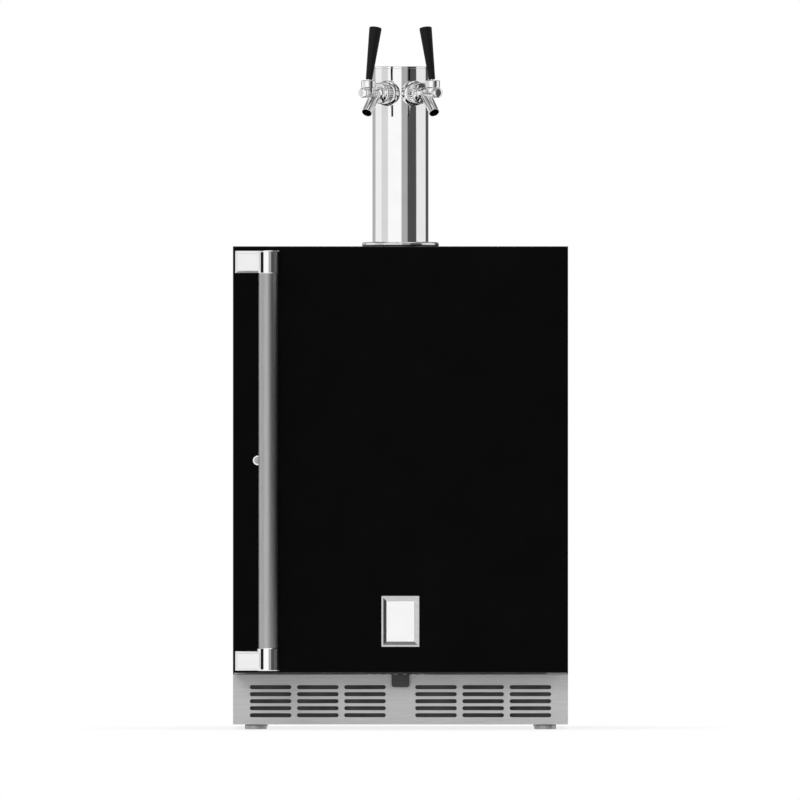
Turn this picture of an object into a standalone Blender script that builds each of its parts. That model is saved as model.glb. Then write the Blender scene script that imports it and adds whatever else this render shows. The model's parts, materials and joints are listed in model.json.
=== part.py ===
"""Kegerator: an under-counter keg cooler with a two-tap draught tower, in metres, +Z up, front facing -Y."""

import math

import bmesh
import bpy
from mathutils import Matrix

# General
SEAT_GAP = 0.0003
SHEET = 0.002
ROUND = 18
BAR_ROUND = 27
WIDE_ROUND = 36
DISC_ROUND = 26
CAP_ROUND = 28
LEVER_ROUND = 14
CUT_PAST = 0.010

# Cabinet
CABINET_WIDTH = 0.606
CABINET_DEPTH = 0.559
CABINET_TOP = 0.874
SKIRT_HEIGHT = 0.0092
SIDE_WALL = 0.050
CEILING_WALL = 0.050
BACK_WALL = 0.055
KEG_FLOOR = 0.180
MACHINE_SPACE_TOP = 0.150
LINER_SHEET = 0.0025
KEG_PLATE = 0.003
KEG_PLATE_MARGIN = 0.008
PAN_LIFT = 0.003

# Kick grille
GRILLE_TOP = 0.0995
GRILLE_DEPTH = 0.020
SLOT_ROWS = 5
SLOT_COLUMNS = 3
SLOT_HEIGHT = 0.0074
SLOT_PITCH = 0.0127
SLOT_LOWEST = 0.0258
SLOT_BRIDGE = 0.010
SLOT_ROUNDNESS = 0.94
SLOT_END_MARGIN = 0.0303
SLOT_MIDDLE_MARGIN = 0.0265
POD_WIDTH = 0.032
POD_HEIGHT = 0.023
POD_PROUD = 0.006
POD_CORNER = 0.004

# Levelling feet
FOOT_RADIUS = 0.020
FOOT_DISC = 0.0085
FOOT_CENTRE_INSET = 0.041
FOOT_FRONT_INSET = 0.045
FOOT_STEM_RADIUS = 0.006
FOOT_STEM = 0.048
BOSS_WALL = 0.005
BOSS_HEIGHT = 0.026

# Door
DOOR_BOTTOM = 0.1025
DOOR_THICKNESS = 0.051
DOOR_EDGE = 0.003
GASKET_DEPTH = 0.010
GASKET_WIDTH = 0.020
GASKET_SIDE_INSET = 0.015
GASKET_TOP_INSET = 0.024
GASKET_BOTTOM_OVERLAP = 0.0035

# Hinges
PIN_SIDE_INSET = 0.012
PIN_BEHIND_FACE = 0.025
PIN_RADIUS = 0.004
PIN_LENGTH = 0.020
HINGE_ARM = 0.016
HINGE_PLATE = 0.004
HINGE_LEG = 0.003
HINGE_LEG_HEIGHT = 0.012
HINGE_LEG_WIDTH = 0.034
HINGE_ARM_DROP = 0.004
NOTCH_DEPTH = 0.010
NOTCH_LIP = 0.005
NOTCH_SIDE = 0.003

# Handle
BAR_RADIUS = 0.0175
BAR_SIDE_INSET = 0.064
BAR_STANDOFF = 0.052
CAP_RADIUS = 0.0205
CAP_HEIGHT = 0.041
CAP_END = 0.008
BRACKET_TOP_INSET = 0.008
BRACKET_BOTTOM_INSET = 0.0045
BRACKET_HEIGHT = 0.036
BRACKET_SIDE_INSET = 0.0045
BRACKET_FOOT = 0.036
BRACKET_FRONT = 0.012
BRACKET_BACK = 0.010
BRACKET_EDGE = 0.004

# Badge
BADGE_WIDTH = 0.069
BADGE_HEIGHT = 0.092
BADGE_CENTRE = 0.0935
BADGE_RIM = 0.006
BADGE_DEPTH = 0.004
BADGE_PLATE_DEPTH = 0.0025
BADGE_CORNER = 0.003

# Lock
LOCK_HEIGHT = 0.3845
LOCK_SIDE_INSET = 0.045
LOCK_HEAD_RADIUS = 0.009
LOCK_HEAD = 0.003
LOCK_BODY_RADIUS = 0.008
PLUG_RADIUS = 0.006
PLUG_PROUD = 0.0035
KEY_SLOT_WIDTH = 0.0016
KEY_SLOT_LENGTH = 0.008
KEY_SLOT_DEPTH = 0.003
CAM_LENGTH = 0.024
CAM_WIDTH = 0.008
CAM_THICKNESS = 0.0025
CAM_BEHIND_DOOR = 0.0038
KEEPER_SHEET = 0.0015
KEEPER_DOOR_GAP = 0.00115
KEEPER_LENGTH = 0.011
KEEPER_START = 0.0125
KEEPER_SIDE = 0.0012

# Tower
TOWER_BEHIND_FRONT = 0.279
LINE_HOLE_RADIUS = 0.036
FLANGE_RADIUS = 0.070
FLANGE_HEIGHT = 0.009
FLANGE_RIM = 0.004
FLANGE_LEDGE = 0.006
FLANGE_FLOOR = 0.003
COLUMN_RADIUS = 0.051
COLUMN_WALL = 0.002
TOWER_HEIGHT = 0.328
TOWER_CAP = 0.004
TOWER_CAP_EDGE = 0.0015
TOWER_CAP_SPIGOT = 0.008

# Taps, measured outwards from the tower's axis and from the faucet's axis
FAUCET_BELOW_TOP = 0.049
ESCUTCHEON_RADIUS = 0.0235
ESCUTCHEON_GAP = 0.001
ESCUTCHEON_PROUD = 0.0095
ESCUTCHEON_EDGE = 0.004
SHANK_RADIUS = 0.011
SHANK_BORE = 0.004
SHANK_TAIL_RADIUS = 0.008
SHANK_TAIL = 0.013
LOCK_NUT_RADIUS = 0.013
LOCK_NUT_LENGTH = 0.008
NUT_RADIUS = 0.0195
NUT_LENGTH = 0.021
NUT_EDGE = 0.003
SHANK_IN_NUT = 0.011
BARREL_LENGTH = 0.0657
BARREL_RADIUS = 0.0088
FRONT_CHAMBER = 0.0062
REAR_CHAMBER = 0.0072
PIVOT_FROM_FRONT = 0.014
BOSS_RADIUS = 0.012
BOSS_TOP = 0.009
LEVER_BORE = 0.0086
SPOUT_RADIUS = 0.0095
SPOUT_BORE = 0.0078
SPOUT_ROOT_BEHIND_PIVOT = 0.029
SPOUT_REACH = 0.036
SPOUT_DROP = 0.036
FRONT_NECK_RADIUS = 0.0065
FRONT_NECK = 0.006
FRONT_CAP_RADIUS = 0.00875
FRONT_CAP = 0.0045
FRONT_SPIGOT = 0.0015

# Tap levers
PIVOT_HEIGHT = 0.017
COLLAR_RADIUS = 0.0135
COLLAR_TOP = 0.006
COLLAR_EDGE = 0.002
BALL_RADIUS = 0.006
LEVER_STEM = 0.003
LEVER_ARM = 0.0024
TIP_RADIUS = 0.003
LEVER_IN_HANDLE = 0.024
LEVER_LEAN = math.radians(15)
LEVER_PULL = math.radians(40)
SWING_CLEARANCE = 0.0004
HANDLE_START = 0.0102
HANDLE_LENGTH = 0.0958
HANDLE_FOOT_RADIUS = 0.0059
HANDLE_TOP_RADIUS = 0.01135
HANDLE_EDGE = 0.0012
VALVE_CLEARANCE = 0.0004
VALVE_STEM = 0.004
VALVE_DISC = 0.004
VALVE_END_GAP = 0.0008
VALVE_HEAD_WALL = 0.0034
TIP_PLAY = 0.0005

# Cooling set
COOLER_FOOT_GAP = 0.008
CORE_SLOTS = 12
CORE_FRAME = 0.006
CORE_FIN = 0.003
CONDENSER_WIDTH = 0.200
CONDENSER_DEPTH = 0.040
CONDENSER_HEIGHT = 0.118
CONDENSER_BEHIND_FRONT = 0.030
EVAPORATOR_WIDTH = 0.300
EVAPORATOR_DEPTH = 0.024
EVAPORATOR_HEIGHT = 0.150
COVER_DEPTH = 0.070
COVER_MARGIN = 0.010
COVER_SHEET = 0.002
FAN_RADIUS = 0.045
FAN_TIP_GAP = 0.004
FAN_HUB_RADIUS = 0.014
FAN_DEPTH = 0.012
FAN_BORE = 0.0084
FAN_BLADES = 5
FAN_BLADE_WIDTH = 0.016
FAN_BLADE_ROOT = 0.0103
FAN_BLADE_SHEET = 0.0022
FAN_BLADE_PITCH = math.radians(25)
FAN_TO_STRAP = 0.004
STRAP_WIDTH = 0.020
STRAP_SHEET = 0.002
MOTOR_RADIUS = 0.016
MOTOR_LENGTH = 0.016
SHAFT_RADIUS = 0.0025
COMPRESSOR_RADIUS = 0.070
COMPRESSOR_HEIGHT = 0.112
COMPRESSOR_BASE = 0.012
COMPRESSOR_BASE_SHEET = 0.004
COMPRESSOR_FROM_BACK = 0.040
CONTROL_WIDTH = 0.120
CONTROL_DEPTH = 0.060
CONTROL_HEIGHT = 0.022
CONTROL_BEHIND_FRONT = 0.020

# Mains inlet in the back panel
INLET_WIDTH = 0.030
INLET_HEIGHT = 0.022
INLET_LENGTH = 0.026
INLET_WALL = 0.003
INLET_RIM = 0.004
INLET_FROM_SIDE = 0.060
INLET_CENTRE = 0.070
BACK_VENT_COUNT = 8
BACK_VENT_WIDTH = 0.006
BACK_VENT_PITCH = 0.016
BACK_VENT_HEIGHT = 0.070

# Places worked out from the sizes above. The depth is centred on y = 0.
OVERALL_DEPTH = CABINET_DEPTH + GASKET_DEPTH + DOOR_THICKNESS + BAR_STANDOFF + CAP_RADIUS
BACK = OVERALL_DEPTH / 2
FRONT = BACK - CABINET_DEPTH
DOOR_BACK = FRONT - GASKET_DEPTH
DOOR_FRONT = DOOR_BACK - DOOR_THICKNESS
HALF_WIDTH = CABINET_WIDTH / 2
INNER_HALF_WIDTH = HALF_WIDTH - SHEET - SEAT_GAP
LINER_HALF_WIDTH = HALF_WIDTH - SIDE_WALL
LINER_TOP = CABINET_TOP - CEILING_WALL
LINER_BACK = BACK - BACK_WALL
UNDER_TOP = CABINET_TOP - SHEET - SEAT_GAP
PAN_BOTTOM = SKIRT_HEIGHT + PAN_LIFT
PAN_TOP = PAN_BOTTOM + SHEET
ON_PAN = PAN_TOP + SEAT_GAP
FOOT_HOLE_RADIUS = FOOT_STEM_RADIUS + SEAT_GAP
COOLER_SIDE = HALF_WIDTH - FOOT_CENTRE_INSET - FOOT_HOLE_RADIUS - BOSS_WALL - COOLER_FOOT_GAP
DOOR_TOP = CABINET_TOP
PIN_X = HALF_WIDTH - PIN_SIDE_INSET
PIN_Y = DOOR_FRONT + PIN_BEHIND_FACE
BAR_X = BAR_SIDE_INSET - HALF_WIDTH
BAR_Y = DOOR_FRONT - BAR_STANDOFF
LOCK_X = LOCK_SIDE_INSET - HALF_WIDTH
LOCK_Z = DOOR_BOTTOM + LOCK_HEIGHT
TOWER_Y = FRONT + TOWER_BEHIND_FRONT
TOWER_BASE = CABINET_TOP + SEAT_GAP
TOWER_TOP = TOWER_BASE + TOWER_HEIGHT
FAUCET_Z = TOWER_TOP - FAUCET_BELOW_TOP
# The two taps stand as close as their escutcheons allow on the round column.
TAP_TURN = math.asin(ESCUTCHEON_RADIUS / COLUMN_RADIUS) + ESCUTCHEON_GAP / (2 * COLUMN_RADIUS)
NUT_START = COLUMN_RADIUS + ESCUTCHEON_PROUD + SEAT_GAP
NUT_END = NUT_START + NUT_LENGTH
SHANK_END = NUT_START + SHANK_IN_NUT
BARREL_START = SHANK_END + SEAT_GAP
BARREL_END = BARREL_START + BARREL_LENGTH
PIVOT_OUT = BARREL_END - PIVOT_FROM_FRONT
# At rest the lever leans back, so its tip stands forward of the pivot by this much.
TIP_OUT = PIVOT_OUT + PIVOT_HEIGHT * math.sin(LEVER_LEAN)
VALVE_TRAVEL = PIVOT_HEIGHT * (math.sin(LEVER_LEAN) + math.sin(LEVER_PULL - LEVER_LEAN))
# The step between the two chambers is the seat that the valve's disc closes from behind.
VALVE_SEAT = BARREL_START + VALVE_END_GAP + VALVE_TRAVEL + VALVE_DISC + VALVE_CLEARANCE

FINISHES = {
    "black_enamel": ((0.004, 0.004, 0.005), 0.35, 0.0),
    "white_enamel": ((0.80, 0.80, 0.78), 0.40, 0.0),
    "chrome": ((0.82, 0.83, 0.84), 0.08, 1.0),
    "satin_steel": ((0.56, 0.57, 0.58), 0.32, 1.0),
    "galvanised": ((0.45, 0.46, 0.47), 0.45, 1.0),
    "aluminium": ((0.70, 0.71, 0.72), 0.40, 1.0),
    "black_plastic": ((0.012, 0.012, 0.013), 0.45, 0.0),
    "grey_plastic": ((0.038, 0.038, 0.040), 0.55, 0.0),
    "white_plastic": ((0.75, 0.76, 0.76), 0.45, 0.0),
    "foam": ((0.72, 0.62, 0.38), 0.95, 0.0),
    "rubber": ((0.030, 0.030, 0.032), 0.80, 0.0),
    "brass": ((0.60, 0.43, 0.16), 0.30, 1.0),
}


def clear_scene():
    for obj in list(bpy.data.objects):
        bpy.data.objects.remove(obj, do_unlink=True)


def material_for(name, finish):
    colour, roughness, metallic = FINISHES[finish]
    material = bpy.data.materials.new(name)
    material.use_nodes = True
    shader = material.node_tree.nodes["Principled BSDF"]
    shader.inputs["Base Color"].default_value = (*colour, 1.0)
    shader.inputs["Roughness"].default_value = roughness
    shader.inputs["Metallic"].default_value = metallic
    material.diffuse_color = (*colour, 1.0)
    return material


def axis_empty(name, place, parent=None, turn=(0.0, 0.0, 0.0)):
    """An empty on a joint's axis, or a frame that pieces are built in."""
    empty = bpy.data.objects.new(name, None)
    empty.location = place
    empty.rotation_euler = turn
    empty.parent = parent
    bpy.context.scene.collection.objects.link(empty)
    return empty


def carry(obj, parent):
    """Parents obj to an unturned empty and leaves it where it stands."""
    obj.parent = parent
    obj.matrix_parent_inverse = Matrix.Translation(parent.location).inverted()


def finish_object(name, bm, finish, place=(0.0, 0.0, 0.0), turn=(0.0, 0.0, 0.0)):
    """Makes an object of a bmesh. With no finish it is a hidden cutter or helper."""
    bmesh.ops.recalc_face_normals(bm, faces=bm.faces)
    mesh = bpy.data.meshes.new(name)
    bm.to_mesh(mesh)
    bm.free()
    mesh.shade_smooth()
    mesh.set_sharp_from_angle(angle=math.radians(30))
    obj = bpy.data.objects.new(name, mesh)
    obj.location = place
    obj.rotation_euler = turn
    bpy.context.scene.collection.objects.link(obj)
    if finish:
        mesh.materials.append(material_for(name, finish))
    else:
        obj.hide_render = True
        obj.display_type = "WIRE"
    return obj


def boolean(obj, other, operation, solver):
    modifier = obj.modifiers.new(f"{operation.lower()}_{other.name}", "BOOLEAN")
    modifier.operation = operation
    modifier.object = other
    modifier.solver = solver


def cut(obj, *cutters, solver="EXACT"):
    for cutter in cutters:
        boolean(obj, cutter, "DIFFERENCE", solver)


def weld(obj, *helpers, solver="EXACT"):
    for helper in helpers:
        boolean(obj, helper, "UNION", solver)


def box_mesh(bm, x, y, z):
    """Adds a box to bm, from the low to the high value of each pair."""
    middle = [(low + high) / 2 for low, high in (x, y, z)]
    spans = [high - low for low, high in (x, y, z)]
    matrix = Matrix.Translation(middle) @ Matrix.Diagonal((*spans, 1.0))
    return bmesh.ops.create_cube(bm, size=1.0, matrix=matrix)["verts"]


def slab(name, finish, x, y, z, parent=None):
    """A box given by its low and high world values, with its origin at its middle."""
    middle = [(low + high) / 2 for low, high in (x, y, z)]
    halves = [((low - high) / 2, (high - low) / 2) for low, high in (x, y, z)]
    bm = bmesh.new()
    box_mesh(bm, *halves)
    obj = finish_object(name, bm, finish, middle)
    if parent:
        carry(obj, parent)
    return obj


def turned(name, finish, profile, ring=False, segments=ROUND, place=(0.0, 0.0, 0.0), turn=(0.0, 0.0, 0.0)):
    """A piece turned about its own Z from (radius, height) points. A ring's profile is closed."""
    bm = bmesh.new()
    points = [bm.verts.new((radius, 0.0, height)) for radius, height in profile]
    edges = [bm.edges.new(pair) for pair in zip(points, points[1:])]
    if ring:
        edges.append(bm.edges.new((points[-1], points[0])))
    bmesh.ops.spin(
        bm,
        geom=points + edges,
        cent=(0.0, 0.0, 0.0),
        axis=(0.0, 0.0, 1.0),
        angle=math.tau,
        steps=segments,
        use_merge=True,
    )
    bmesh.ops.remove_doubles(bm, verts=bm.verts, dist=1e-7)
    return finish_object(name, bm, finish, place, turn)


def rod(name, finish, radius, low, high, segments=ROUND, place=(0.0, 0.0, 0.0), turn=(0.0, 0.0, 0.0)):
    profile = [(0.0, high), (radius, high), (radius, low), (0.0, low)]
    return turned(name, finish, profile, segments=segments, place=place, turn=turn)


def arc(centre, radius, start, end, steps):
    """Points of an arc in a profile, at angles in degrees from the +radius direction."""
    points = []
    for step in range(steps + 1):
        angle = math.radians(start + (end - start) * step / steps)
        points.append((centre[0] + radius * math.cos(angle), centre[1] + radius * math.sin(angle)))
    return points


def prism_mesh(bm, outline, low, high, along="Y"):
    """Adds an outline, given on the other two axes in their order, to bm and extrudes it along one axis."""
    axis = "XYZ".index(along)
    corners = [bm.verts.new((*point[:axis], low, *point[axis:])) for point in outline]
    way = [0.0, 0.0, 0.0]
    way[axis] = high - low
    face = bm.faces.new(corners)
    grown = bmesh.ops.extrude_face_region(bm, geom=[face])["geom"]
    moved = [item for item in grown if isinstance(item, bmesh.types.BMVert)]
    bmesh.ops.translate(bm, verts=moved, vec=way)


def rounded_outline(width, height, corner, steps=3, square_top=False):
    """A rectangle about the origin with round corners, or round lower corners only."""
    half_x = width / 2 - corner
    half_z = height / 2 - corner
    outline = []
    if square_top:
        outline += [(width / 2, height / 2), (-width / 2, height / 2)]
    else:
        outline += arc((half_x, half_z), corner, 0, 90, steps)
        outline += arc((-half_x, half_z), corner, 90, 180, steps)
    outline += arc((-half_x, -half_z), corner, 180, 270, steps)
    outline += arc((half_x, -half_z), corner, 270, 360, steps)
    return outline


def plate(name, finish, outline, y, place=(0.0, 0.0, 0.0), parent=None):
    """An outline in X and Z with its thickness along Y, between two offsets from its place."""
    bm = bmesh.new()
    prism_mesh(bm, outline, *y)
    obj = finish_object(name, bm, finish, place)
    if parent:
        carry(obj, parent)
    return obj


def shifted(outline, x, z):
    return [(point_x + x, point_z + z) for point_x, point_z in outline]


# Turning a piece's own Z to the front, for what is turned about a front-to-back axis
FACING_FRONT = (math.radians(90), 0.0, 0.0)


def upright_rods(name, radius, low, high, places):
    """A helper of several upright rods, one at each (x, y)."""
    bm = bmesh.new()
    for x, y in places:
        bmesh.ops.create_cone(
            bm,
            cap_ends=True,
            segments=ROUND,
            radius1=radius,
            radius2=radius,
            depth=high - low,
            matrix=Matrix.Translation((x, y, (low + high) / 2)),
        )
    return finish_object(name, bm, None)


def foot_places():
    x = HALF_WIDTH - FOOT_CENTRE_INSET
    front = FRONT + FOOT_FRONT_INSET
    back = BACK - FOOT_FRONT_INSET
    return {
        "front_left": (-x, front),
        "front_right": (x, front),
        "rear_left": (-x, back),
        "rear_right": (x, back),
    }


def cabinet_panels(line_hole):
    height = (SKIRT_HEIGHT, UNDER_TOP)
    slab("left_side_panel", "black_enamel", (-HALF_WIDTH, SHEET - HALF_WIDTH), (FRONT, BACK), height)
    slab("right_side_panel", "black_enamel", (HALF_WIDTH - SHEET, HALF_WIDTH), (FRONT, BACK), height)
    whole_width = (-HALF_WIDTH, HALF_WIDTH)
    top = slab("top_panel", "black_enamel", whole_width, (FRONT, BACK), (CABINET_TOP - SHEET, CABINET_TOP))
    cut(top, line_hole)
    between = (-INNER_HALF_WIDTH, INNER_HALF_WIDTH)
    back = slab("back_panel", "galvanised", between, (BACK - SHEET, BACK), (ON_PAN, UNDER_TOP))
    bm = bmesh.new()
    across = (BACK - SHEET - CUT_PAST, BACK + CUT_PAST)
    for vent in range(BACK_VENT_COUNT):
        middle = (vent - (BACK_VENT_COUNT - 1) / 2) * BACK_VENT_PITCH
        low = (PAN_TOP + MACHINE_SPACE_TOP - BACK_VENT_HEIGHT) / 2
        x = (middle - BACK_VENT_WIDTH / 2, middle + BACK_VENT_WIDTH / 2)
        box_mesh(bm, x, across, (low, low + BACK_VENT_HEIGHT))
    half_x = INLET_WIDTH / 2 + SEAT_GAP
    half_z = INLET_HEIGHT / 2 + SEAT_GAP
    inlet_x = HALF_WIDTH - INLET_FROM_SIDE
    box_mesh(bm, (inlet_x - half_x, inlet_x + half_x), across, (INLET_CENTRE - half_z, INLET_CENTRE + half_z))
    cut(back, finish_object("back_panel_cutter", bm, None))


def mains_inlet():
    """A socket flush with the back panel, held by a rim on the panel's inner side."""
    x = HALF_WIDTH - INLET_FROM_SIDE
    sides = ((INLET_WIDTH / 2, INLET_HEIGHT / 2), (INLET_WIDTH / 2 + INLET_RIM, INLET_HEIGHT / 2 + INLET_RIM))
    (half_x, half_z), (rim_x, rim_z) = sides
    height = (INLET_CENTRE - half_z, INLET_CENTRE + half_z)
    inlet = slab("mains_inlet", "black_plastic", (x - half_x, x + half_x), (BACK - INLET_LENGTH, BACK), height)
    rim_y = BACK - SHEET - SEAT_GAP
    rim_height = (INLET_CENTRE - rim_z, INLET_CENTRE + rim_z)
    rim = slab("inlet_rim", None, (x - rim_x, x + rim_x), (rim_y - INLET_WALL, rim_y), rim_height)
    weld(inlet, rim)
    hollow_x = (x - half_x + INLET_WALL, x + half_x - INLET_WALL)
    hollow_z = (height[0] + INLET_WALL, height[1] - INLET_WALL)
    hollow_y = (BACK - INLET_LENGTH + INLET_WALL, BACK + CUT_PAST)
    cut(inlet, slab("inlet_hollow", None, hollow_x, hollow_y, hollow_z))


def insulated_body(line_hole):
    between = (-INNER_HALF_WIDTH, INNER_HALF_WIDTH)
    outer_x = LINER_HALF_WIDTH + LINER_SHEET
    outer_z = (KEG_FLOOR - LINER_SHEET, LINER_TOP + LINER_SHEET)
    outer_back = LINER_BACK + LINER_SHEET
    foam_y = (FRONT + LINER_SHEET + SEAT_GAP, BACK - SHEET - SEAT_GAP)
    foam = slab("foam_insulation", "foam", between, foam_y, (MACHINE_SPACE_TOP, UNDER_TOP))
    space_x = (-outer_x - SEAT_GAP, outer_x + SEAT_GAP)
    space_z = (outer_z[0] - SEAT_GAP, outer_z[1] + SEAT_GAP)
    cut(foam, slab("foam_space", None, space_x, (FRONT - CUT_PAST, outer_back + SEAT_GAP), space_z), line_hole)

    # The liner's front flange is the frame that the door gasket meets.
    flange_z = (GRILLE_TOP + SEAT_GAP, UNDER_TOP)
    liner = slab("inner_liner", "white_plastic", between, (FRONT, FRONT + LINER_SHEET), flange_z)
    weld(liner, slab("liner_tub", None, (-outer_x, outer_x), (FRONT + LINER_SHEET / 2, outer_back), outer_z))
    keg_x = (-LINER_HALF_WIDTH, LINER_HALF_WIDTH)
    keg_y = (FRONT - CUT_PAST, LINER_BACK)
    cut(liner, slab("keg_space", None, keg_x, keg_y, (KEG_FLOOR, LINER_TOP)), line_hole)

    plate_x = LINER_HALF_WIDTH - KEG_PLATE_MARGIN
    plate_y = (FRONT + KEG_PLATE_MARGIN, LINER_BACK - KEG_PLATE_MARGIN)
    plate_z = (KEG_FLOOR + SEAT_GAP, KEG_FLOOR + SEAT_GAP + KEG_PLATE)
    slab("keg_floor_plate", "satin_steel", (-plate_x, plate_x), plate_y, plate_z)


def base_and_feet():
    places = foot_places()
    between = (-INNER_HALF_WIDTH, INNER_HALF_WIDTH)
    pan = slab("base_pan", "galvanised", between, (FRONT, BACK), (PAN_BOTTOM, PAN_TOP))
    boss_low = PAN_BOTTOM + SHEET / 2
    boss_high = PAN_TOP + BOSS_HEIGHT
    weld(pan, upright_rods("foot_bosses", FOOT_HOLE_RADIUS + BOSS_WALL, boss_low, boss_high, places.values()))
    through = (PAN_BOTTOM - CUT_PAST, boss_high + CUT_PAST)
    cut(pan, upright_rods("foot_holes", FOOT_HOLE_RADIUS, *through, places.values()))
    edge = FOOT_DISC / 4
    profile = [
        (0.0, FOOT_STEM),
        (FOOT_STEM_RADIUS, FOOT_STEM),
        (FOOT_STEM_RADIUS, FOOT_DISC),
        (FOOT_RADIUS - edge, FOOT_DISC),
        (FOOT_RADIUS, FOOT_DISC - edge),
        (FOOT_RADIUS, 0.0),
        (0.0, 0.0),
    ]
    for corner, (x, y) in places.items():
        turned(f"{corner}_foot", "satin_steel", profile, place=(x, y, 0.0))


def kick_grille():
    face = FRONT - GRILLE_DEPTH
    whole_width = (-HALF_WIDTH, HALF_WIDTH)
    whole_height = (SKIRT_HEIGHT, GRILLE_TOP)
    grille = slab("kick_grille", "satin_steel", whole_width, (face, FRONT - SEAT_GAP), whole_height)
    inner_x = (SHEET - HALF_WIDTH, HALF_WIDTH - SHEET)
    inner_z = (SKIRT_HEIGHT + SHEET, GRILLE_TOP - SHEET)
    cut(grille, slab("grille_hollow", None, inner_x, (face + SHEET, FRONT + CUT_PAST), inner_z))
    row_width = HALF_WIDTH - SLOT_END_MARGIN - SLOT_MIDDLE_MARGIN
    length = (row_width - (SLOT_COLUMNS - 1) * SLOT_BRIDGE) / SLOT_COLUMNS
    slot = rounded_outline(length, SLOT_HEIGHT, SLOT_ROUNDNESS * SLOT_HEIGHT / 2, steps=2)
    bm = bmesh.new()
    for row in range(SLOT_ROWS):
        z = SLOT_LOWEST + row * SLOT_PITCH
        for column in range(SLOT_COLUMNS):
            x = SLOT_MIDDLE_MARGIN + length / 2 + column * (length + SLOT_BRIDGE)
            for side in (-1, 1):
                prism_mesh(bm, shifted(slot, side * x, z), face - CUT_PAST, face + SHEET + CUT_PAST / 2)
    cut(grille, finish_object("grille_slots", bm, None))
    tab = rounded_outline(POD_WIDTH, POD_HEIGHT, POD_CORNER, square_top=True)
    place = (0.0, face - SEAT_GAP, GRILLE_TOP - POD_HEIGHT / 2)
    plate("grille_switch_pod", "grey_plastic", tab, (-POD_PROUD, 0.0), place)


def finned_core(name, finish, x, y, z):
    """A heat exchanger: fins between a top and a bottom header, with air passing front to back."""
    core = slab(name, finish, x, y, z)
    pitch = (x[1] - x[0] - 2 * CORE_FRAME + CORE_FIN) / CORE_SLOTS
    bm = bmesh.new()
    for slot in range(CORE_SLOTS):
        low = x[0] + CORE_FRAME + slot * pitch
        across = (low, low + pitch - CORE_FIN)
        box_mesh(bm, across, (y[0] - CUT_PAST, y[1] + CUT_PAST), (z[0] + CORE_FRAME, z[1] - CORE_FRAME))
    cut(core, finish_object(f"{name}_slots", bm, None))


def fan_on_plate(prefix, carrier, x, face, z):
    """Cuts a fan opening in a plate whose front is at y = face. A bent strap there holds a motor and a fan."""
    opening = FAN_RADIUS + FAN_TIP_GAP
    strap = face + FAN_DEPTH + FAN_TO_STRAP
    strap_back = strap + STRAP_SHEET
    half_x = STRAP_WIDTH / 2
    leg_end = opening + 2 * STRAP_SHEET
    cutter_place = (x, face + SHEET + CUT_PAST / 2, z)
    length = SHEET + CUT_PAST
    cut(carrier, rod(f"{prefix}_opening", None, opening, 0.0, length, WIDE_ROUND, cutter_place, FACING_FRONT))
    leg_foot = face + SHEET / 2
    leg_inner = leg_end - STRAP_SHEET
    bent = [
        (leg_foot, z + leg_end),
        (strap_back, z + leg_end),
        (strap_back, z - leg_end),
        (leg_foot, z - leg_end),
        (leg_foot, z - leg_inner),
        (strap, z - leg_inner),
        (strap, z + leg_inner),
        (leg_foot, z + leg_inner),
    ]
    bm = bmesh.new()
    prism_mesh(bm, bent, x - half_x, x + half_x, along="X")
    weld(carrier, finish_object(f"{prefix}_strap", bm, None))
    shaft_place = (x, strap_back + CUT_PAST / 2, z)
    hole = SHAFT_RADIUS + SEAT_GAP
    cut(carrier, rod(f"{prefix}_shaft_hole", None, hole, 0.0, CUT_PAST, ROUND, shaft_place, FACING_FRONT))

    shaft = SEAT_GAP + STRAP_SHEET + FAN_TO_STRAP + FAN_BORE - SEAT_GAP
    motor = [
        (0.0, shaft),
        (SHAFT_RADIUS, shaft),
        (SHAFT_RADIUS, 0.0),
        (MOTOR_RADIUS, 0.0),
        (MOTOR_RADIUS, -MOTOR_LENGTH),
        (0.0, -MOTOR_LENGTH),
    ]
    motor_place = (x, strap_back + SEAT_GAP, z)
    turned(f"{prefix}_fan_motor", "galvanised", motor, place=motor_place, turn=FACING_FRONT)
    hub = [
        (0.0, FAN_DEPTH),
        (FAN_HUB_RADIUS, FAN_DEPTH),
        (FAN_HUB_RADIUS, 0.0),
        (hole, 0.0),
        (hole, FAN_BORE),
        (0.0, FAN_BORE),
    ]
    place = (x, face + FAN_DEPTH, z)
    fan = turned(f"{prefix}_fan", "black_plastic", hub, place=place, turn=FACING_FRONT)
    bm = bmesh.new()
    half_width = FAN_BLADE_WIDTH / 2
    half_sheet = FAN_BLADE_SHEET / 2
    for blade in range(FAN_BLADES):
        reach = (FAN_BLADE_ROOT, FAN_RADIUS)
        verts = box_mesh(bm, reach, (-half_width, half_width), (-half_sheet, half_sheet))
        pitch = Matrix.Rotation(FAN_BLADE_PITCH, 4, "X")
        round_hub = Matrix.Rotation(math.tau * blade / FAN_BLADES, 4, "Z")
        lift = Matrix.Translation((0.0, 0.0, FAN_DEPTH / 2))
        bmesh.ops.transform(bm, matrix=lift @ round_hub @ pitch, verts=verts)
    weld(fan, finish_object(f"{prefix}_blades", bm, None, place, FACING_FRONT))


def condenser_set():
    x = (COOLER_SIDE - CONDENSER_WIDTH, COOLER_SIDE)
    front = FRONT + CONDENSER_BEHIND_FRONT
    back = front + CONDENSER_DEPTH
    z = (ON_PAN, ON_PAN + CONDENSER_HEIGHT)
    finned_core("condenser_coil", "aluminium", x, (front, back), z)
    face = back + SEAT_GAP
    shroud = slab("condenser_fan_shroud", "galvanised", x, (face, face + SHEET), z)
    fan_on_plate("condenser", shroud, sum(x) / 2, face, sum(z) / 2)


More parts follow.
